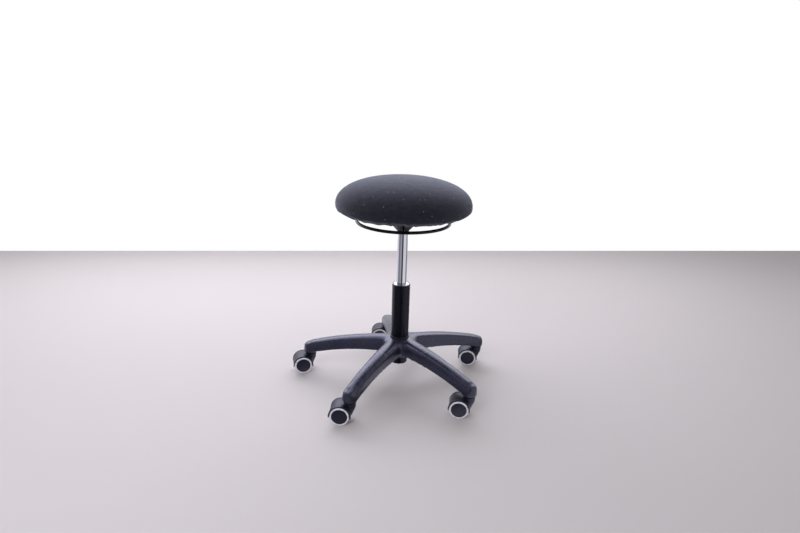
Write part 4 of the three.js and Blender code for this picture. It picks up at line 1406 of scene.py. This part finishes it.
class STOOL_OT_stage(Operator):
    """Sets up the floor, the backdrop, the soft light and the camera"""

    bl_idname = "stool.stage"
    bl_label = "Stage"

    def execute(self, context):
        stage = context.scene.stool_stage
        floor = bpy.data.materials.new("Pale floor, matt")
        floor.use_nodes = True
        paint = floor.node_tree.nodes["Principled BSDF"]
        paint.inputs["Base Color"].default_value = (*stage.floor, 1)
        paint.inputs["Roughness"].default_value = 0.7
        paint.inputs["Specular IOR Level"].default_value = 0.2
        ground = floor.node_tree
        centred = {"Vector": add(ground, "TexCoord").outputs["Object"], "Location": (-BALL.x, -BALL.y, 0)}
        tones = studio(ground, add(ground, "Mapping", centred).outputs["Vector"])
        # Painted reflection: for glossy rays the floor glows with these bands, and for every other ray it is the plain
        # matt floor
        painted_reflection = add(ground, "Emission", {"Color": tones, "Strength": 0.9}).outputs[0]
        both = {0: add(ground, "LightPath").outputs["Is Glossy Ray"], 1: paint.outputs["BSDF"], 2: painted_reflection}
        one_sided(ground, add(ground, "MixShader", both).outputs[0])
        sheet_of("floor", 16, 16, floor, Matrix.Identity(4))
        upright = (
            Matrix.Translation((0.02, stage.wall_distance, 1.5))
            @ Matrix.Rotation(stage.wall_turn, 4, "Z")
            @ Matrix.Rotation(math.pi / 2, 4, "X")
        )
        wall = background("White backdrop, matt", tuple(stage.wall), (1, 1, 1))
        sheet_of("backdrop", 16, 3, wall, upright)

        world = bpy.data.worlds.new("Soft studio light")
        context.scene.world = world
        world.use_nodes = True
        tree = world.node_tree
        tree.nodes.clear()
        ray = add(tree, "LightPath")
        # Painted reflection: for glossy rays the world shows these bands instead of its even light
        tones = studio(tree, add(tree, "TexCoord").outputs["Generated"])
        even, pale, painted_reflection = (
            add(tree, "Background", {"Color": tone, "Strength": strength}).outputs[0]
            for tone, strength in (
                ((*linear("#eef0fa"), 1), stage.sky),
                ((*linear("#f2f2f5"), 1), 1.0),
                (tones, 1.0),
            )
        )
        glossy = add(tree, "MixShader", {0: ray.outputs["Is Glossy Ray"], 1: even, 2: painted_reflection}).outputs[0]
        both = add(tree, "MixShader", {0: ray.outputs["Is Camera Ray"], 1: glossy, 2: pale}).outputs[0]
        add(tree, "OutputWorld", {"Surface": both})

        softbox("wash", stage.wash, (3.2, 1.3), (-0.2, 1.2, 0.95), (0, -0.2, 0.45))
        softbox("key", stage.key, (2.0, 1.4), (-1.0, 0.4, 2.3), (0, 0, 0.3))
        beside = softbox("fill", stage.fill, (0.8, 0.8), (-0.9, -1.7, 1.5), (0, 0, 0.3))
        beside.visible_glossy = False

        lens = bpy.data.cameras.new("camera")
        lens.lens = stage.lens
        lens.sensor_width = 36
        camera = bpy.data.objects.new("camera", lens)
        camera.matrix_world = (
            Matrix.Translation((stage.camera_side, -stage.camera_distance, stage.camera_height))
            @ Matrix.Rotation(math.pi / 2 - stage.camera_pitch, 4, "X")
            @ Matrix.Rotation(stage.camera_roll, 4, "Z")
        )
        context.scene.collection.objects.link(camera)
        context.scene.camera = camera
        context.scene.view_settings.view_transform = "Standard"
        return {"FINISHED"}


# ---- Add-on

GROUPS = {
    "stool_base": StoolBase,
    "stool_casters": StoolCasters,
    "stool_column": StoolColumn,
    "stool_seat": StoolSeat,
    "stool_finishes": StoolFinishes,
    "stool_stage": StoolStage,
}
OPERATORS = (
    STOOL_OT_stage,
    STOOL_OT_base,
    STOOL_OT_column,
    STOOL_OT_ring_lever,
    STOOL_OT_socket,
    STOOL_OT_casters,
    STOOL_OT_cushion,
    STOOL_OT_underside,
    STOOL_OT_inner_parts,
)


class STOOL_PT_panel(Panel):
    """Lists the steps that dress the stool, and their sizes"""

    bl_label = "Wobble Stool"
    bl_idname = "STOOL_PT_panel"
    bl_space_type = "VIEW_3D"
    bl_region_type = "UI"
    bl_category = "Stool"

    def draw(self, context):
        column = self.layout.column(align=True)
        for step in OPERATORS:
            column.operator(step.bl_idname)
        for name, group in GROUPS.items():
            values = getattr(context.scene, name)
            section = self.layout.box()
            section.label(text=group.__doc__)
            for prop in group.__annotations__:
                section.prop(values, prop)


def register():
    for name, group in GROUPS.items():
        bpy.utils.register_class(group)
        setattr(bpy.types.Scene, name, PointerProperty(type=group))
    for cls in (*OPERATORS, STOOL_PT_panel):
        bpy.utils.register_class(cls)


def unregister():
    for cls in (STOOL_PT_panel, *reversed(OPERATORS)):
        bpy.utils.unregister_class(cls)
    for name, group in reversed(GROUPS.items()):
        delattr(bpy.types.Scene, name)
        bpy.utils.unregister_class(group)


def main():
    register()
    for step in OPERATORS:
        space, name = step.bl_idname.split(".")
        getattr(getattr(bpy.ops, space), name)()


if __name__ == "__main__":
    main()
